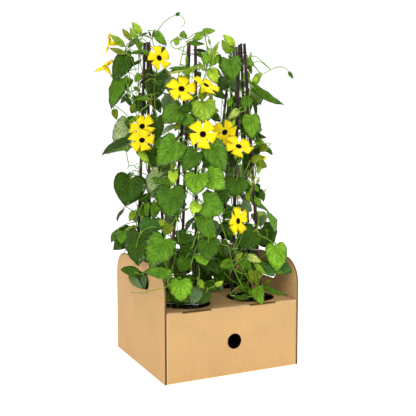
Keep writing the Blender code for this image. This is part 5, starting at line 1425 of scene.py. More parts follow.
def potting_mix():
    """Moist peat and bark with a few white grains of perlite: dark crumbs 2 to 5 mm across."""
    made, tree, shader = new_material("moist_peat_and_bark", Roughness=0.95, Specular_IOR_Level=0.2)
    place = object_place(tree)
    crumbs = add_node(tree, "ShaderNodeTexVoronoi", {"Vector": place, "Scale": 280.0})
    lumps = speckle(tree, place, 90.0, 6.0)
    colour = set_stops(
        add_node(tree, "ShaderNodeValToRGB", {"Fac": lumps}),
        (0.30, linear("#120C08")), (0.62, linear("#3A281A")), (0.80, linear("#6A4A2E")),
    )
    grain = add_node(tree, "ShaderNodeTexVoronoi", {"Vector": place, "Scale": 130.0})
    perlite = remap(tree, grain.outputs["Distance"], 0.14, 0.20, 1.0, 0.0)
    final = blend(tree, perlite, colour, linear("#D8D4C8"))
    plug(tree, shader, "Base Color", final)
    height = calc(tree, "ADD", crumbs.outputs["Distance"], lumps)
    add_relief(tree, shader, height, 0.9, 0.002)
    return made


def stained_bamboo():
    """Dark stained bamboo cane: a waxy skin with streaks along it, worn to red-brown in places."""
    made, tree, shader = new_material("stained_bamboo", Specular_IOR_Level=0.25)
    place = object_place(tree)
    # Streaks about 1 mm wide and 40 mm long
    streaky = add_node(tree, "ShaderNodeMapping", {"Vector": place, "Scale": (1.0, 1.0, 0.03)})
    streaks = speckle(tree, streaky, 700.0, 3.0)
    wear_and_highlight = speckle(tree, place, 14.0, 3.0)
    dark = set_stops(
        add_node(tree, "ShaderNodeValToRGB", {"Fac": streaks}),
        (0.32, linear("#140C0C")), (0.58, linear("#2C1A18")), (0.78, linear("#553226")),
    )
    wear_and_highlight_share = remap(tree, wear_and_highlight, 0.50, 0.68, 0.0, 0.75)
    final = blend(tree, wear_and_highlight_share, dark, linear("#7A4A36"))
    plug(tree, shader, "Base Color", final)
    rough = remap(tree, streaks, 0.3, 0.7, 0.36, 0.60)
    plug(tree, shader, "Roughness", rough)
    add_relief(tree, shader, streaks, 0.4, 0.0003)
    return made


def cut_bamboo():
    """Sawn bamboo: pale rings of fibre ends round a dark pith."""
    made, tree, shader = new_material("sawn_bamboo", Roughness=0.85)
    place = object_place(tree)
    fibres = add_node(tree, "ShaderNodeTexVoronoi", {"Vector": place, "Scale": 1400.0})
    colour = set_stops(
        add_node(tree, "ShaderNodeValToRGB", {"Fac": fibres.outputs["Distance"]}),
        (0.1, linear("#5B4030")), (0.7, linear("#A98562")),
    )
    plug(tree, shader, "Base Color", colour)
    return made


def coated_wire(name, colour, shade, rough):
    """Steel wire in a thin vinyl coat: an even, slightly waxy skin with dull rubbed spots."""
    made, tree, shader = new_material(name, Specular_IOR_Level=0.5)
    place = object_place(tree)
    spots = speckle(tree, place, 300.0, 2.0)
    mixed = blend(tree, spots, linear(colour), linear(shade))
    plug(tree, shader, "Base Color", mixed)
    dull = remap(tree, spots, 0.3, 0.7, rough, rough + 0.2)
    plug(tree, shader, "Roughness", dull)
    return made


def vine_leaf():
    """A fresh vine leaf: a satin skin, pale veins that fan out from the stalk, blades puffed between them."""
    made, tree, shader = new_material("vine_leaf", Specular_IOR_Level=0.14)
    place = object_place(tree)
    chart = add_node(tree, "ShaderNodeUVMap", uv_map="UVMap")
    parts = add_node(tree, "ShaderNodeSeparateXYZ", {0: chart})
    back = calc(tree, "GREATER_THAN", parts.outputs["X"], 1.0)
    folded = calc(tree, "SUBTRACT", parts.outputs["X"], back)
    x = calc(tree, "SUBTRACT", folded, 0.5)
    y = calc(tree, "SUBTRACT", parts.outputs["Y"], 0.10)
    angle = calc(tree, "ARCTAN2", x, y)
    flat = add_node(tree, "ShaderNodeCombineXYZ", {0: x, 1: y})
    reach = add_node(tree, "ShaderNodeVectorMath", {0: flat}, operation="LENGTH").outputs["Value"]
    # Seven main veins, 0.6 rad apart, that bend towards the tip
    spread = calc(tree, "MULTIPLY_ADD", reach, 0.6, 1.0)
    bent = calc(tree, "MULTIPLY", angle, spread)
    turns = calc(tree, "MULTIPLY_ADD", bent, 1 / 0.6, 10.5)
    within = calc(tree, "FRACT", turns)
    beside = calc(tree, "SUBTRACT", within, 0.5)
    near = calc(tree, "ABSOLUTE", beside)
    off_vein = calc(tree, "MULTIPLY", near, reach)
    main = remap(tree, off_vein, 0.006, 0.024, 1.0, 0.0)
    # Side veins that leave the midrib every seventh of the leaf
    outward = calc(tree, "ABSOLUTE", x)
    slant = calc(tree, "MULTIPLY_ADD", outward, -0.8, y)
    ladder = calc(tree, "MULTIPLY_ADD", slant, 7.0, 10.0)
    rung = calc(tree, "FRACT", ladder)
    rung_off = calc(tree, "SUBTRACT", rung, 0.5)
    rung_near = calc(tree, "ABSOLUTE", rung_off)
    side = remap(tree, rung_near, 0.03, 0.13, 0.55, 0.0)
    veins = calc(tree, "MAXIMUM", main, side)
    # Painted light and shade about 12 mm across: puffed parts lighter and yellower as if lit, hollows shaded
    # deeper
    tone = add_node(tree, "ShaderNodeAttribute", attribute_name="tone").outputs["Color"]
    patches = speckle(tree, place, 80.0, 3.0)
    from_main = remap(tree, off_vein, 0.0, 0.11, 0.0, 1.0)
    from_side = remap(tree, rung_near, 0.0, 0.42, 0.2, 1.0)
    pillow = calc(tree, "MULTIPLY", from_main, from_side)
    uneven = calc(tree, "MULTIPLY_ADD", pillow, 0.28, patches)
    puffed = remap(tree, uneven, 0.40, 0.86, 0.0, 1.0)
    painted_shade = add_node(tree, "ShaderNodeHueSaturation", {"Color": tone, "Value": 0.72})
    sunlit = {"Color": tone, "Hue": 0.488, "Saturation": 0.96, "Value": 1.48}
    painted_highlight = add_node(tree, "ShaderNodeHueSaturation", sunlit)
    painted_light_and_shade = blend(tree, puffed, painted_shade, painted_highlight)
    share = calc(tree, "MULTIPLY", veins, 0.15)
    veined = blend(tree, share, painted_light_and_shade, linear("#B4D84E"))
    pale = calc(tree, "MULTIPLY", back, 0.45)
    final = blend(tree, pale, veined, linear("#93AE78"))
    plug(tree, shader, "Base Color", final)
    rough = calc(tree, "MULTIPLY_ADD", back, 0.25, 0.42)
    plug(tree, shader, "Roughness", rough)
    # The blade is puffed between its veins, with fine puckers about 3 mm across
    puckers = add_node(tree, "ShaderNodeTexVoronoi", {"Vector": place, "Scale": 330.0})
    pucker = calc(tree, "MULTIPLY", puckers.outputs["Distance"], -0.25)
    relief = calc(tree, "MULTIPLY_ADD", puffed, 1.6, pucker)
    height = calc(tree, "MULTIPLY_ADD", veins, -0.6, relief)
    add_relief(tree, shader, height, 0.9, 0.0012)
    return made


def vine_stem(name, colour, shade):
    """A green stem with fine hairs: soft and matt, darker where the sun has been on it."""
    made, tree, shader = new_material(name, Roughness=0.6, Specular_IOR_Level=0.15)
    place = object_place(tree)
    bands = speckle(tree, place, 45.0, 3.0)
    sharper = remap(tree, bands, 0.35, 0.65, 0.0, 1.0)
    mixed = blend(tree, sharper, linear(colour), linear(shade))
    plug(tree, shader, "Base Color", mixed)
    hairs = add_node(tree, "ShaderNodeTexNoise", {"Vector": place, "Scale": 2500.0})
    add_relief(tree, shader, hairs, 0.3, 0.0001)
    return made


def vine_petal():
    """Petals: velvety clear yellow with faint rays, and a near-black throat with a sharp edge."""
    made, tree, shader = new_material("vine_petal", Roughness=0.62, Specular_IOR_Level=0.25)
    plants = settings("plants")
    chart = add_node(tree, "ShaderNodeUVMap", uv_map="UVMap")
    parts = add_node(tree, "ShaderNodeSeparateXYZ", {0: chart})
    stretched = add_node(tree, "ShaderNodeMapping", {"Vector": chart, "Scale": (70.0, 2.5, 1.0)})
    rays = speckle(tree, stretched, 1.0, 2.0)
    yellow = plants.petal_colour
    warmer = (yellow[0], yellow[1] * 0.90, yellow[2], 1.0)
    shaded = remap(tree, rays, 0.40, 0.72, 0.0, 0.55)
    rayed = blend(tree, shaded, tuple(yellow), warmer)
    # The backs are a deeper, more orange yellow
    reverse = calc(tree, "GREATER_THAN", parts.outputs["X"], 1.5)
    turned = calc(tree, "MULTIPLY", reverse, 0.7)
    sided = blend(tree, turned, rayed, linear("#F4AC10"))
    inner = set_stops(
        add_node(tree, "ShaderNodeValToRGB", {"Fac": parts.outputs["Y"]}),
        (0.0, (1.0, 1.0, 1.0, 1.0)), (0.212, (1.0, 1.0, 1.0, 1.0)), (0.235, (0.0, 0.0, 0.0, 1.0)),
    )
    final = blend(tree, inner, sided, tuple(plants.throat_colour))
    plug(tree, shader, "Base Color", final)
    add_relief(tree, shader, rays, 0.4, 0.0005)
    return made


def studio_floor():
    """White acrylic light table: matt and faintly grained, it glows a little so that shadows stay soft."""
    made, tree, shader = new_material("opal_acrylic_floor", Roughness=0.8, Specular_IOR_Level=0.2)
    shader.inputs["Emission Color"].default_value = (1.0, 1.0, 1.0, 1.0)
    shader.inputs["Emission Strength"].default_value = 0.55
    place = object_place(tree)
    grain = speckle(tree, place, 4.0, 2.0)
    colour = tuple(settings("stage").floor_colour)
    shade = tuple(channel * 0.985 for channel in colour[:3]) + (1.0,)
    mixed = blend(tree, grain, colour, shade)
    plug(tree, shader, "Base Color", mixed)
    return made


MADE = {}


def material(name, make, *details):
    """Makes each material once."""
    if name not in MADE:
        MADE[name] = make(*details)
    return MADE[name]


def mark_cut_faces(piece, thin_axis):
    """Gives the cut edges of a board the second material: all faces that don't look along thin_axis."""
    for face in piece.data.polygons:
        face.material_index = 0 if abs(face.normal[thin_axis]) > 0.7 else 1


def finish_board(piece, node, thin_axis, cut_name, cut_axis):
    wear = settings("carrier").edge_wear
    apply_modifier(
        piece, "BEVEL", width=wear, segments=WEAR_STEPS, limit_method="ANGLE", angle_limit=WORN_ANGLE,
    )
    hand_over(
        piece, [node],
        (material("liner", kraft_liner), material(cut_name, cut_board, cut_name, cut_axis)),
    )
    mark_cut_faces(piece, thin_axis)
    pick(piece)
    bpy.ops.object.shade_smooth_by_angle(angle=SMOOTH_ANGLE)


class VINES_OT_carrier(bpy.types.Operator):
    """Folds the carrier: tray, inner board and two end panels"""

    bl_idname = "vines.carrier"
    bl_label = "Carrier"

    def execute(self, context):
        self.make_tray()
        self.make_deck()
        self.make_ends()
        return {"FINISHED"}

    def make_tray(self):
        board = settings("carrier").board
        half_x = CARRIER_X / 2 - board - GAP
        half_y = CARRIER_Y / 2
        tray = box("carrier_tray", (-half_x, -half_y, 0.0), (half_x, half_y, DECK_Z))
        inside = box(
            "inside", (-half_x - board, -half_y + board, board), (half_x + board, half_y - board, 2 * DECK_Z),
        )
        cut(tray, inside)
        deselect_all()
        bpy.ops.mesh.primitive_cylinder_add(
            vertices=FINGER_HOLE_SIDES, radius=FINGER_HOLE_RADIUS, depth=4 * board,
            location=(0.0, -half_y, FINGER_HOLE_Z), rotation=(math.pi / 2, 0.0, 0.0),
        )
        cut(tray, bpy.context.object)
        # The front and back walls fold over at the top and at the bottom
        bevel_edges(
            tray, FOLD_RADIUS, FOLD_STEPS,
            lambda start, end: abs(start.x - end.x) > half_x and abs(start.y) > half_y - GAP
            and abs(end.y) > half_y - GAP,
        )
        for middle in TAB_SLOTS_X:
            reach = TAB_SLOT_LENGTH / 2
            cut(tray, box(
                "notch", (middle - reach, -half_y - board, DECK_Z - TAB_NOTCH),
                (middle + reach, -half_y + 2 * board, DECK_Z + board),
            ))
        finish_board(tray, "carton_tray", 1, "cut_edge_across_front", "Y")
        for face in tray.data.polygons:
            from_hole = math.hypot(face.center.x, face.center.z - FINGER_HOLE_Z)
            in_hole = abs(face.center.y + half_y) < board and from_hole < FINGER_HOLE_RADIUS + EDGE_MARGIN
            face.material_index = 1 if in_hole and abs(face.normal.y) < 0.5 else 0

    def make_deck(self):
        board = settings("carrier").board
        half_x = CARRIER_X / 2 - board - GAP
        edge = CARRIER_Y / 2 - board - GAP
        deck = box("carrier_deck", (-half_x, -edge, DECK_Z - board - GAP), (half_x, edge, DECK_Z - GAP))
        for middle in TAB_SLOTS_X:
            reach = TAB_SLOT_LENGTH / 2
            cut(deck, box(
                "slot", (middle - reach, -edge - board, DECK_Z - 3 * board),
                (middle + reach, -edge + TAB_SLOT_WIDTH, DECK_Z + board),
            ))
        for facts in PLANTS.values():
            deselect_all()
            bpy.ops.mesh.primitive_cylinder_add(
                vertices=PLANT_HOLE_SIDES, radius=PLANT_HOLE_RADIUS, depth=6 * board,
                location=(facts["pot"][0] * CM, facts["pot"][1] * CM, DECK_Z),
            )
            cut(deck, bpy.context.object)
        finish_board(deck, "carton_deck", 2, "cut_edge_of_deck", "Z")

    def make_ends(self):
        board = settings("carrier").board
        half_y = CARRIER_Y / 2
        reach = HAND_HOLE_LENGTH / 2
        for name, way in (("left", -1), ("right", 1)):
            left, right = sorted((way * (CARRIER_X / 2 - board), way * CARRIER_X / 2))
            panel = box(f"carrier_end_{name}", (left, -half_y, 0.0), (right, half_y, END_Z))
            bevel_edges(
                panel, END_ROUND, END_STEPS,
                lambda start, end: abs(start.x - end.x) > board / 2 and min(start.z, end.z) > END_Z - GAP,
            )
            hole = box(
                "hand_hole",
                (left - board, HAND_HOLE_Y - reach, HAND_HOLE_Z - HAND_HOLE_ROUND),
                (right + board, HAND_HOLE_Y + reach, HAND_HOLE_Z + HAND_HOLE_ROUND),
            )
            bevel_edges(
                hole, HAND_HOLE_ROUND - EDGE_MARGIN, HAND_HOLE_STEPS,
                lambda start, end: abs(start.x - end.x) > board / 2,
            )
            cut(panel, hole)
            finish_board(panel, f"carton_end_{name}", 0, "cut_edge_of_ends", "X")


class VINES_OT_pots(bpy.types.Operator):
    """Turns the four grower's pots and fills them with potting mix"""

    bl_idname = "vines.pots"
    bl_label = "Pots and soil"

    def execute(self, context):
        pot_floor = settings("carrier").board + GAP
        inner = POT_RIM_RADIUS - 2 * POT_WALL
        lip = POT_HEIGHT - POT_LIP
        pot_line = (
            (0.0, 0.0),
            (POT_FOOT_RADIUS - POT_FOOT_ROUND, 0.0),
            (POT_FOOT_RADIUS, POT_FOOT_ROUND),
            (POT_RIM_RADIUS - POT_LIP_STEP, lip - MM),
            (POT_RIM_RADIUS, lip),
            (POT_RIM_RADIUS, POT_HEIGHT - POT_EDGE),
            (POT_RIM_RADIUS - POT_EDGE, POT_HEIGHT),
            (inner + POT_EDGE, POT_HEIGHT),
            (inner, POT_HEIGHT - POT_EDGE),
            (POT_FOOT_RADIUS - POT_WALL, POT_FOOT_ROUND),
            (POT_FOOT_RADIUS - POT_FOOT_ROUND - MM, POT_WALL),
            (0.0, POT_WALL),
        )
        low = pot_floor + POT_WALL + GAP
        foot = POT_FOOT_RADIUS - POT_WALL - 2 * GAP
        rim = foot + (inner - foot) * SOIL_TAPER
        soil_line = [
            (rim * ring / SOIL_RINGS, SOIL_TOP - SOIL_DISH * (ring / SOIL_RINGS) ** 4)
            for ring in range(SOIL_RINGS + 1)
        ]
        soil_line += [(foot, low), (0.0, low)]
        for plant, facts in PLANTS.items():
            middle = Vector((facts["pot"][0] * CM, facts["pot"][1] * CM, 0.0))

            def pot_corner(i, j):
                radius, height = pot_line[j]
                return around_axis(middle, radius, 2 * math.pi * i / POT_SIDES, pot_floor + height)

            def soil_corner(i, j):
                radius, height = soil_line[j]
                place = around_axis(middle, radius, 2 * math.pi * i / POT_SIDES, height)
                if j < SOIL_RINGS:
                    place.z += sum(rise * noise.noise(place * count) for rise, count in CRUMBS)
                return place

            pot = rolled_grid(f"grower_pot_{plant}", POT_SIDES, len(pot_line) - 1, pot_corner)
            bpy.ops.object.shade_smooth_by_angle(angle=POT_SMOOTH_ANGLE)
            hand_over(pot, [f"pot_{plant}"], (material("pot", pot_plastic),))
            soil = rolled_grid(f"potting_mix_{plant}", POT_SIDES, len(soil_line) - 1, soil_corner)
            hand_over(soil, [f"soil_{plant}"], (material("soil", potting_mix),))
        return {"FINISHED"}


class VINES_OT_canes(bpy.types.Operator):
    """Sets three bamboo canes in each pot"""

    bl_idname = "vines.canes"
    bl_label = "Bamboo canes"

    def execute(self, context):
        radius = settings("plants").cane_radius
        skins = (material("bamboo", stained_bamboo), material("cut_end", cut_bamboo))
        for number, (plant, facts) in enumerate(PLANTS.items()):
            for cane in range(3):
                top = facts["top"] + 0.002 * cane
                first_knot = 0.09 + 0.041 * ((number * 3 + cane * 2) % 4)
                knots = [first_knot + KNOT_SPACING * k for k in range(5)]
                knots = [knot for knot in knots if knot < top - 0.01]
                plain = [CANE_FOOT_Z + CANE_STEP * k for k in range(1, 40)]
                heights = {CANE_FOOT_Z, top} | {height for height in plain if height < top - 0.004}
                # Closer together at each knot, a raised ring with a groove above it
                for knot in knots:
                    heights = {
                        height for height in heights
                        if abs(height - knot) > KNOT_CLEARANCE or height in (CANE_FOOT_Z, top)
                    }
                    heights |= {knot + MM * k for k in KNOT_STEPS_MM}
                points = []
                radii = []
                for height in sorted(heights):
                    swell = sum(
                        KNOT_RING * math.exp(-((height - knot) / KNOT_RING_WIDTH) ** 2)
                        - KNOT_GROOVE
                        * math.exp(-((height - knot - KNOT_GROOVE_ABOVE) / KNOT_GROOVE_WIDTH) ** 2)
                        for knot in knots
                    )
                    points.append(cane_at(plant, cane, height))
                    radii.append(radius * (CANE_FOOT_SHARE - CANE_TAPER * height / top + swell))
                rod = tube(f"bamboo_{plant}_{cane + 1}", [(points, radii, False, 0)])
                hand_over(rod, [f"cane_{plant}_{cane + 1}"], skins)
                for face in rod.data.polygons:
                    face.material_index = 1 if face.normal.z > 0.9 and face.center.z > top - 0.002 else 0
        return {"FINISHED"}


def ring_points(plant, height, clearance):
    """A wire's path round the three canes of a plant."""
    middle = canes_middle(plant, height)
    canes = sorted(
        (cane_at(plant, cane, height) for cane in range(3)),
        key=lambda place: math.atan2(place.y - middle.y, place.x - middle.x),
    )
    points = []
    for index, place in enumerate(canes):
        before = place - canes[index - 1]
        after = canes[(index + 1) % 3] - place
        start = math.atan2(before.y, before.x) - math.pi / 2
        stop = math.atan2(after.y, after.x) - math.pi / 2
        while stop < start:
            stop += 2 * math.pi
        for step in range(9):
            angle = start + (stop - start) * step / 8
            points.append(place + clearance * heading(angle))
    return points


class VINES_OT_wires(bpy.types.Operator):
    """Bends the white hoops and the black ties round the canes"""

    bl_idname = "vines.wires"
    bl_label = "Hoops and ties"

    def execute(self, context):
        plants = settings("plants")
        wire = plants.wire_radius
        reach = plants.cane_radius + wire + WIRE_GAP
        white = material("white_wire", coated_wire, "white_vinyl_wire", "#EDEDE8", "#CFCFC8", 0.35)
        black = material("black_wire", coated_wire, "black_vinyl_wire", "#0E0E0F", "#1E1D1D", 0.35)
        for plant, facts in PLANTS.items():
            for node, height in (("hoop_low", HOOP_LOW_Z), ("hoop_high", facts["hoop"])):
                points = ring_points(plant, height, reach)
                hoop = tube(f"wire_{node}_{plant}", [(points, [wire] * len(points), True, 0)])
                hand_over(hoop, [f"{node}_{plant}"], (white,))
            height = facts["top"] - TIE_DROP
            points = ring_points(plant, height, reach)
            routes = [(points, [wire * 0.9] * len(points), True, 0)]
            # The two ends are twisted together and stand out 9 mm
            start = points[0]
            outward = (start - canes_middle(plant, height)).normalized()
            for half in (0, math.pi):
                twist = [
                    start + outward * MM * k
                    + at_height(TWIST_RADIUS * math.cos(TWIST_TURN * k + half))
                    + outward.cross(at_height(1.0)) * TWIST_RADIUS * math.sin(TWIST_TURN * k + half)
                    for k in range(TWIST_STEPS)
                ]
                routes.append((twist, [wire * 0.7] * len(twist), False, 0))
            tie = tube(f"wire_tie_{plant}", routes)
            hand_over(tie, [f"tie_{plant}"], (black,))
        return {"FINISHED"}


def leaf_blank(kind):
    """One leaf, flat: x along its midrib, y across it in widths, z 1 on its face and -1 on its back."""
    half = LEAF_EDGES[kind]
    edge = [Vector((x, y)) for x, y in half] + [Vector((x, -y)) for x, y in reversed(half[1:-1])]
    rings = LEAF_RINGS[kind]
    middle = Vector((LEAF_STALK_X + 0.05, 0.0))

    def corner(i, j):
        ring = min(j, 2 * rings - j) / rings
        place = middle.lerp(edge[i % len(edge)], ring)
        side = 0.0 if j == rings else (1.0 if j < rings else -1.0)
        return Vector((place.x, place.y, side * (1 - ring ** 3)))

    blank = rolled_grid(f"leaf_blank_{kind}", len(edge), 2 * rings, corner, merge=1e-5)
    mesh = blank.data
    chart = mesh.uv_layers[0].data
    for face in mesh.polygons:
        behind = sum(mesh.vertices[index].co.z for index in face.vertices) < 0
        for loop in face.loop_indices:
            place = mesh.vertices[mesh.loops[loop].vertex_index].co
            chart[loop].uv = (place.y * 0.98 + 0.5 + (1.0 if behind else 0.0), place.x)
    return blank


def paint_tone(mesh, tone):
    paint = mesh.color_attributes.new("tone", "FLOAT_COLOR", "POINT")
    paint.data.foreach_set("color", list(tone) * len(mesh.vertices))


def set_leaf(blank, kind, base, width, axes, tone, seed):
    """A copy of a blank bent into its place, with its tone; a bract is blown up like a pod."""
    mesh = blank.data.copy()
    along, across, out = axes
    length = along.length
    if kind == "bract":
        for vert in mesh.vertices:
            x, y, side = vert.co
            rise = side * BRACT_SWELL * width
            vert.co = base + along * x + across * (y * width) + out * rise
    else:
        bend = 0.5 + 0.5 * math.sin(seed * 1.7)
        for vert in mesh.vertices:
            x, y, side = vert.co
            edge = 2 * abs(y)
            sway = LEAF_WAVE * width * math.sin(8 * x + 6 * y + seed) * edge ** 2
            droop = LEAF_DROOP * width * edge ** 2.5 * bend + LEAF_CURL * length * bend * x ** 3
            place = leaf_point(axes, base, width, x, y, LEAF_CREASE)
            vert.co = place + out * (side * LEAF_HALF_THICKNESS + sway - droop)
    paint_tone(mesh, tone)
    piece = bpy.data.objects.new("leaf", mesh)
    bpy.context.collection.objects.link(piece)
    return piece


def set_calyx(tip, axis, tone):
    """The pair of bracts that holds a flower's tube, closed to a pointed pod; tip is the tube's end."""
    turn = axis.to_track_quat("Z", "Y").to_matrix()
    half = CALYX_HALF * CALYX_SWELL
    middle = tip - axis * (CALYX_HALF + GAP)

    def corner(i, j):
        t = j / CALYX_RINGS
        angle = 2 * math.pi * i / CALYX_SIDES
        swell = math.sin(math.pi * t) ** 0.8 * (1.15 - 0.3 * t)
        keel = 1.0 + 0.12 * math.cos(2 * angle)
        around = Vector((math.cos(angle), 0.8 * math.sin(angle), 0.0)) * CALYX_RADIUS * swell * keel
        return middle + turn @ (around + at_height(half * (2 * t - 1)))

    pod = rolled_grid("calyx", CALYX_SIDES, CALYX_RINGS, corner)
    paint_tone(pod.data, tone)
    return pod


class VINES_OT_shoots(bpy.types.Operator):
    """Grows the twelve twining shoots with their stalks, leaves and bracts"""

    bl_idname = "vines.shoots"
    bl_label = "Shoots and leaves"

    def execute(self, context):
        plants = settings("plants")
        blanks = {kind: leaf_blank(kind) for kind in LEAF_EDGES}
        stems = {key: [] for key in GROWTH.stems}
        leaves = {key: [] for key in GROWTH.stems}
        for key, chains in GROWTH.stems.items():
            for foot, twining, free in chains:
                if twining:
                    path = smooth_path([foot] + twining, 1)[:-1] + smooth_path([twining[-1]] + free, 4)
                    thick = plants.stem_radius
                else:
                    path = smooth_path([foot] + free, 5)
                    thick = plants.stem_radius * 0.7
                thin = plants.stem_radius * 0.5
                radii = [thick + (thin - thick) * (k / (len(path) - 1)) ** 1.6 for k in range(len(path))]
                stems[key].append((path, radii, False, 0 if twining else 1))
        for (plant, cane), rows in FINE_SHOOTS.items():
            for kind, radius, depth, route in rows:
                path = smooth_path([seen_at(a, u, PLANTS[plant]["depth"] + depth) for a, u in route], 5)
                last = len(path) - 1
                radii = [FINE_SWELL * radius * MM * (1 - 0.4 * k / last) for k in range(len(path))]
                stems[plant, cane].append((path, radii, False, STEM_FINISHES[kind]))
        for _, plant, cane, joint, middle, axis, size in GROWTH.flowers:
            reach = FLOWER_TUBE * min(1.0, size / FULL_FLOWER)
            tube_end = middle - axis * reach
            heel = tube_end - axis * 2 * CALYX_HALF
            bend = heel - axis * 0.4 * (heel - joint).length
            rise = joint.lerp(bend, 0.6) + at_height(0.002)
            path = smooth_path([joint, rise, bend.lerp(heel, 0.6), heel], 4)
            stems[plant, cane].append((path, [plants.petiole_radius * 1.15] * len(path), False, 1))
            leaves[plant, cane].append(set_calyx(tube_end, axis, TONES["light"]))
        for number, leaf in enumerate(GROWTH.leaves):
            plant, cane, joint, base, tip, width, roll, facing, tone, kind = leaf
            axes = leaf_frame(base, tip, facing, roll)
            spread = LARGE_SPREAD if kind in LARGE_LEAVES else 1.0
            colour = self.tone_of(tone, number)
            blade = set_leaf(blanks[kind], kind, base, width * spread, axes, colour, number * 1.3)
            leaves[plant, cane].append(blade)
            end = leaf_point(axes, base, width, LEAF_STALK_X, 0.0)
            reach = (end - joint).length
            rise = joint.lerp(end, 0.45) + at_height(0.16 * reach)
            lead = base - axes[0].normalized() * min(0.25 * reach, 0.008)
            path = smooth_path([joint, rise.lerp(lead, 0.15), lead, end], 3)
            finish = STEM_FINISHES["pale" if tone in PALE_STALKED else "green"]
            stems[plant, cane].append((path, [plants.petiole_radius] * len(path), False, finish))
        skins = (
            material("stem_green", vine_stem, "green_vine_stem", "#86AC36", "#5E8A22"),
            material("stem_pale", vine_stem, "young_vine_stem", "#C4DC70", "#A2C448"),
            material("stem_brown", vine_stem, "old_vine_stem", "#A8925E", "#7E6A40"),
        )
        for (plant, cane), routes in stems.items():
            number = f"{plant}_{cane + 1}"
            stem = tube(f"stem_{number}", routes)
            hand_over(stem, [shoot_name(plant, cane)])
            for skin in skins:
                stem.data.materials.append(skin)
            foliage = join(leaves[plant, cane], f"leaves_{number}")
            bpy.ops.object.shade_smooth()
            hand_over(foliage, [shoot_name(plant, cane)], (material("leaf", vine_leaf),))
        for blank in blanks.values():
            bpy.data.objects.remove(blank, do_unlink=True)
        return {"FINISHED"}

    def tone_of(self, tone, number):
        """A leaf's colour; no two are quite alike."""
        shade = 1 + 0.14 * math.sin(number * 2.3)
        return [min(1.0, channel * shade) for channel in TONES[tone][:3]] + [1.0]


def flower_line(i, j, size, scale, phase, seed):
    """A corner of a flower before it is turned to its side: i round it, j from its throat to its tube."""
    per_petal = 2 * (len(PETAL_EDGE) - 1)
    petal, step = divmod(i % (PETALS * per_petal), per_petal)
    fold = min(step, per_petal - step)
    degrees, length = PETAL_EDGE[fold]
    degrees = math.copysign(degrees, step - per_petal / 2)
    lean = 0.9 * math.sin(2.1 * petal + seed)
    angle = math.radians(phase + 360 / PETALS * petal + degrees + 3.0 * math.sin(1.9 * petal + seed))
    around = heading(angle)
    inner = len(THROAT)
    outer = inner + PETAL_RINGS
    last = outer + PETAL_RINGS
    if j < inner:
        radius, height = THROAT[j]
        return around * radius * scale + at_height(height * scale)
    if j <= last:
        ring = (j - inner) / PETAL_RINGS if j <= outer else (last - j) / PETAL_RINGS
        uneven = 0.03 * math.sin(3.3 * petal + seed) + PETAL_SKEW * length * degrees / 36
        edge = size / 2 * (length + uneven)
        radius = THROAT_RADIUS * scale + (edge - THROAT_RADIUS * scale) * ring
        cup = PETAL_CUP * math.sin(math.pi * ring) + (PETAL_LIFT + PETAL_LIFT_RANGE * lean) * ring ** 2
        ruffle = PETAL_RUFFLE * ring ** 2 * math.cos(math.radians(degrees) * 9 + petal)
        ruffle -= PETAL_ARCH * ring * (degrees / 24) ** 2
        back = PETAL_THICKNESS if j > outer else 0.0
        return around * radius + at_height(cup + ruffle - back * (1 - ring * 0.4))
    radius, height = TUBE[j - last - 1]
    return around * radius * scale + at_height(height * scale)


class VINES_OT_flowers(bpy.types.Operator):
    """Opens the flowers, with dark throats in yellow petals, and the bud"""

    bl_idname = "vines.flowers"
    bl_label = "Flowers"

    def execute(self, context):
        petal = material("petal", vine_petal)
        rounds = PETALS * 2 * (len(PETAL_EDGE) - 1)
        steps = len(THROAT) + 2 * PETAL_RINGS + len(TUBE)
        for number, (name, _, _, _, middle, axis, size) in enumerate(GROWTH.flowers):
            turn = axis.to_track_quat("Z", "Y").to_matrix()
            scale = min(1.0, size / FULL_FLOWER)
            if name.startswith("bud"):
                self.make_bud(name, turn, petal)
                continue

            def corner(i, j):
                return middle + turn @ flower_line(i, j, size, scale, FLOWER_PHASES[name], number * 0.8)

            piece = rolled_grid(f"open_{name}", rounds, steps, corner)
            self.chart(piece, middle, turn, size, scale)
            hand_over(piece, [name], (petal,))
        return {"FINISHED"}

    def chart(self, piece, middle, turn, size, scale):
        """Lays the pattern out: round the flower, and from its throat (0) to its petals' ends (1)."""
        mesh = piece.data
        chart = mesh.uv_layers[0].data
        back = turn.transposed()
        for face in mesh.polygons:
            behind = 2.0 if (back @ face.normal).z < -0.3 else 0.0
            for loop in face.loop_indices:
                place = back @ (mesh.vertices[mesh.loops[loop].vertex_index].co - middle)
                radius = Vector((place.x, place.y)).length
                inside = THROAT_RADIUS * scale
                if radius <= inside * 1.02:
                    v = 0.2 if place.z > -0.0055 * scale else 0.3
                    if place.z <= -0.0055 * scale and radius < 0.0037 * scale and place.z > -0.0095 * scale:
                        v = 0.05
                else:
                    v = 0.2 + 0.8 * min(1.0, (radius - inside) / (size / 2 - inside))
                chart[loop].uv = (math.atan2(place.y, place.x) / (2 * math.pi) + 0.5 + behind, v)

    def make_bud(self, name, turn, petal):
        low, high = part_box(name)
        centre = (low + high) / 2

        def corner(i, j):
            t = j / BUD_RINGS
            angle = 2 * math.pi * i / BUD_SIDES
            swell = math.sin(math.pi * t) ** 0.7 * (0.6 + 0.6 * t) * (1 + 0.10 * math.cos(5 * angle + 4 * t))
            return centre + turn @ (heading(angle) * BUD_RADIUS * swell + at_height(BUD_HALF * (2 * t - 1)))

        bud = rolled_grid("closed_" + name, BUD_SIDES, BUD_RINGS, corner)
        for loop in bud.data.uv_layers[0].data:
            loop.uv = (loop.uv[0], 0.4 + 0.5 * loop.uv[1])
        hand_over(bud, [name], (petal,))


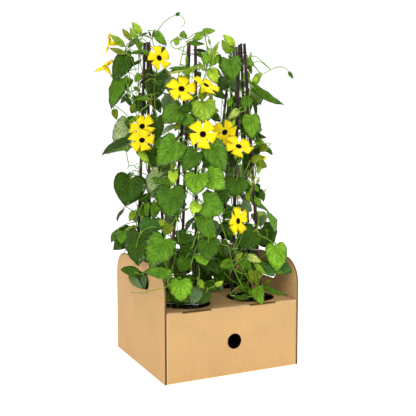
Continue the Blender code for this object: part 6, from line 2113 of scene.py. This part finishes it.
class VINES_OT_stage(bpy.types.Operator):
    """Lays the floor and sets the light and the camera"""

    bl_idname = "vines.stage"
    bl_label = "Stage"

    def execute(self, context):
        stage = settings("stage")
        deselect_all()
        bpy.ops.mesh.primitive_plane_add(size=30.0, location=(0.0, 0.0, -0.0005))
        floor = bpy.context.object
        floor.name = "floor"
        floor.data.materials.append(material("floor", studio_floor))
        context.scene.view_settings.view_transform = "Standard"
        world = bpy.data.worlds.new("studio")
        context.scene.world = world
        world.use_nodes = True
        tree = world.node_tree
        way = add_node(tree, "ShaderNodeTexCoord").outputs["Generated"]
        height = add_node(tree, "ShaderNodeSeparateXYZ", {0: way}).outputs["Z"]
        # White walls all round and a dimmer ceiling
        strength = remap(tree, height, 0.22, 0.60, stage.surround, stage.ceiling)
        background = tree.nodes["Background"]
        background.inputs["Color"].default_value = (1.0, 1.0, 1.0, 1.0)
        tree.links.new(strength.outputs[0], background.inputs["Strength"])
        for name, place, size, share in (
            ("key", (-1.6, -2.4, 2.2), 1.6, 1.0),
            ("fill", (2.4, -1.6, 1.4), 2.0, 0.35),
            ("top", (0.2, 0.2, 2.8), 1.8, 1.1),
        ):
            bpy.ops.object.light_add(type="AREA", location=place)
            lamp = bpy.context.object
            lamp.name = name
            lamp.data.size = size
            lamp.data.energy = stage.key_power * share
            aim = Vector((0.0, 0.0, 0.35)) - Vector(place)
            lamp.rotation_euler = aim.to_track_quat("-Z", "Y").to_euler()
        bpy.ops.object.camera_add(
            location=VIEW_POINT, rotation=(math.pi / 2 - VIEW_DIP, 0.0, -VIEW_TURN),
        )
        camera = bpy.context.object
        camera.name = "photograph_view"
        camera.data.lens = LENS_MM
        camera.data.sensor_width = SENSOR_MM
        context.scene.camera = camera
        return {"FINISHED"}


class VINES_PT_panel(bpy.types.Panel):
    """Lists the steps that build the vines"""

    bl_label = "Vines in a carrier"
    bl_idname = "VINES_PT_panel"
    bl_space_type = "VIEW_3D"
    bl_region_type = "UI"
    bl_category = "Vines"

    def draw(self, context):
        layout = self.layout
        for group in SETTINGS:
            values = settings(group)
            for name in values.bl_rna.properties.keys():
                if name not in ("rna_type", "name"):
                    layout.prop(values, name)
        for step in STEPS:
            layout.operator(step.bl_idname)


SETTINGS = {"carrier": CarrierSettings, "plants": PlantSettings, "stage": StageSettings}
STEPS = (
    VINES_OT_carrier, VINES_OT_pots, VINES_OT_canes, VINES_OT_wires, VINES_OT_shoots, VINES_OT_flowers,
    VINES_OT_stage,
)
CLASSES = tuple(SETTINGS.values()) + STEPS + (VINES_PT_panel,)


def register():
    for kind in CLASSES:
        bpy.utils.register_class(kind)
    for group, kind in SETTINGS.items():
        setattr(bpy.types.Scene, "vines_" + group, bpy.props.PointerProperty(type=kind))


def unregister():
    for group in SETTINGS:
        delattr(bpy.types.Scene, "vines_" + group)
    for kind in reversed(CLASSES):
        bpy.utils.unregister_class(kind)


def main():
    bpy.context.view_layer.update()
    register()
    bpy.ops.vines.carrier()
    bpy.ops.vines.pots()
    bpy.ops.vines.canes()
    bpy.ops.vines.wires()
    bpy.ops.vines.shoots()
    bpy.ops.vines.flowers()
    bpy.ops.vines.stage()
    bpy.context.view_layer.update()


if __name__ == "__main__":
    main()
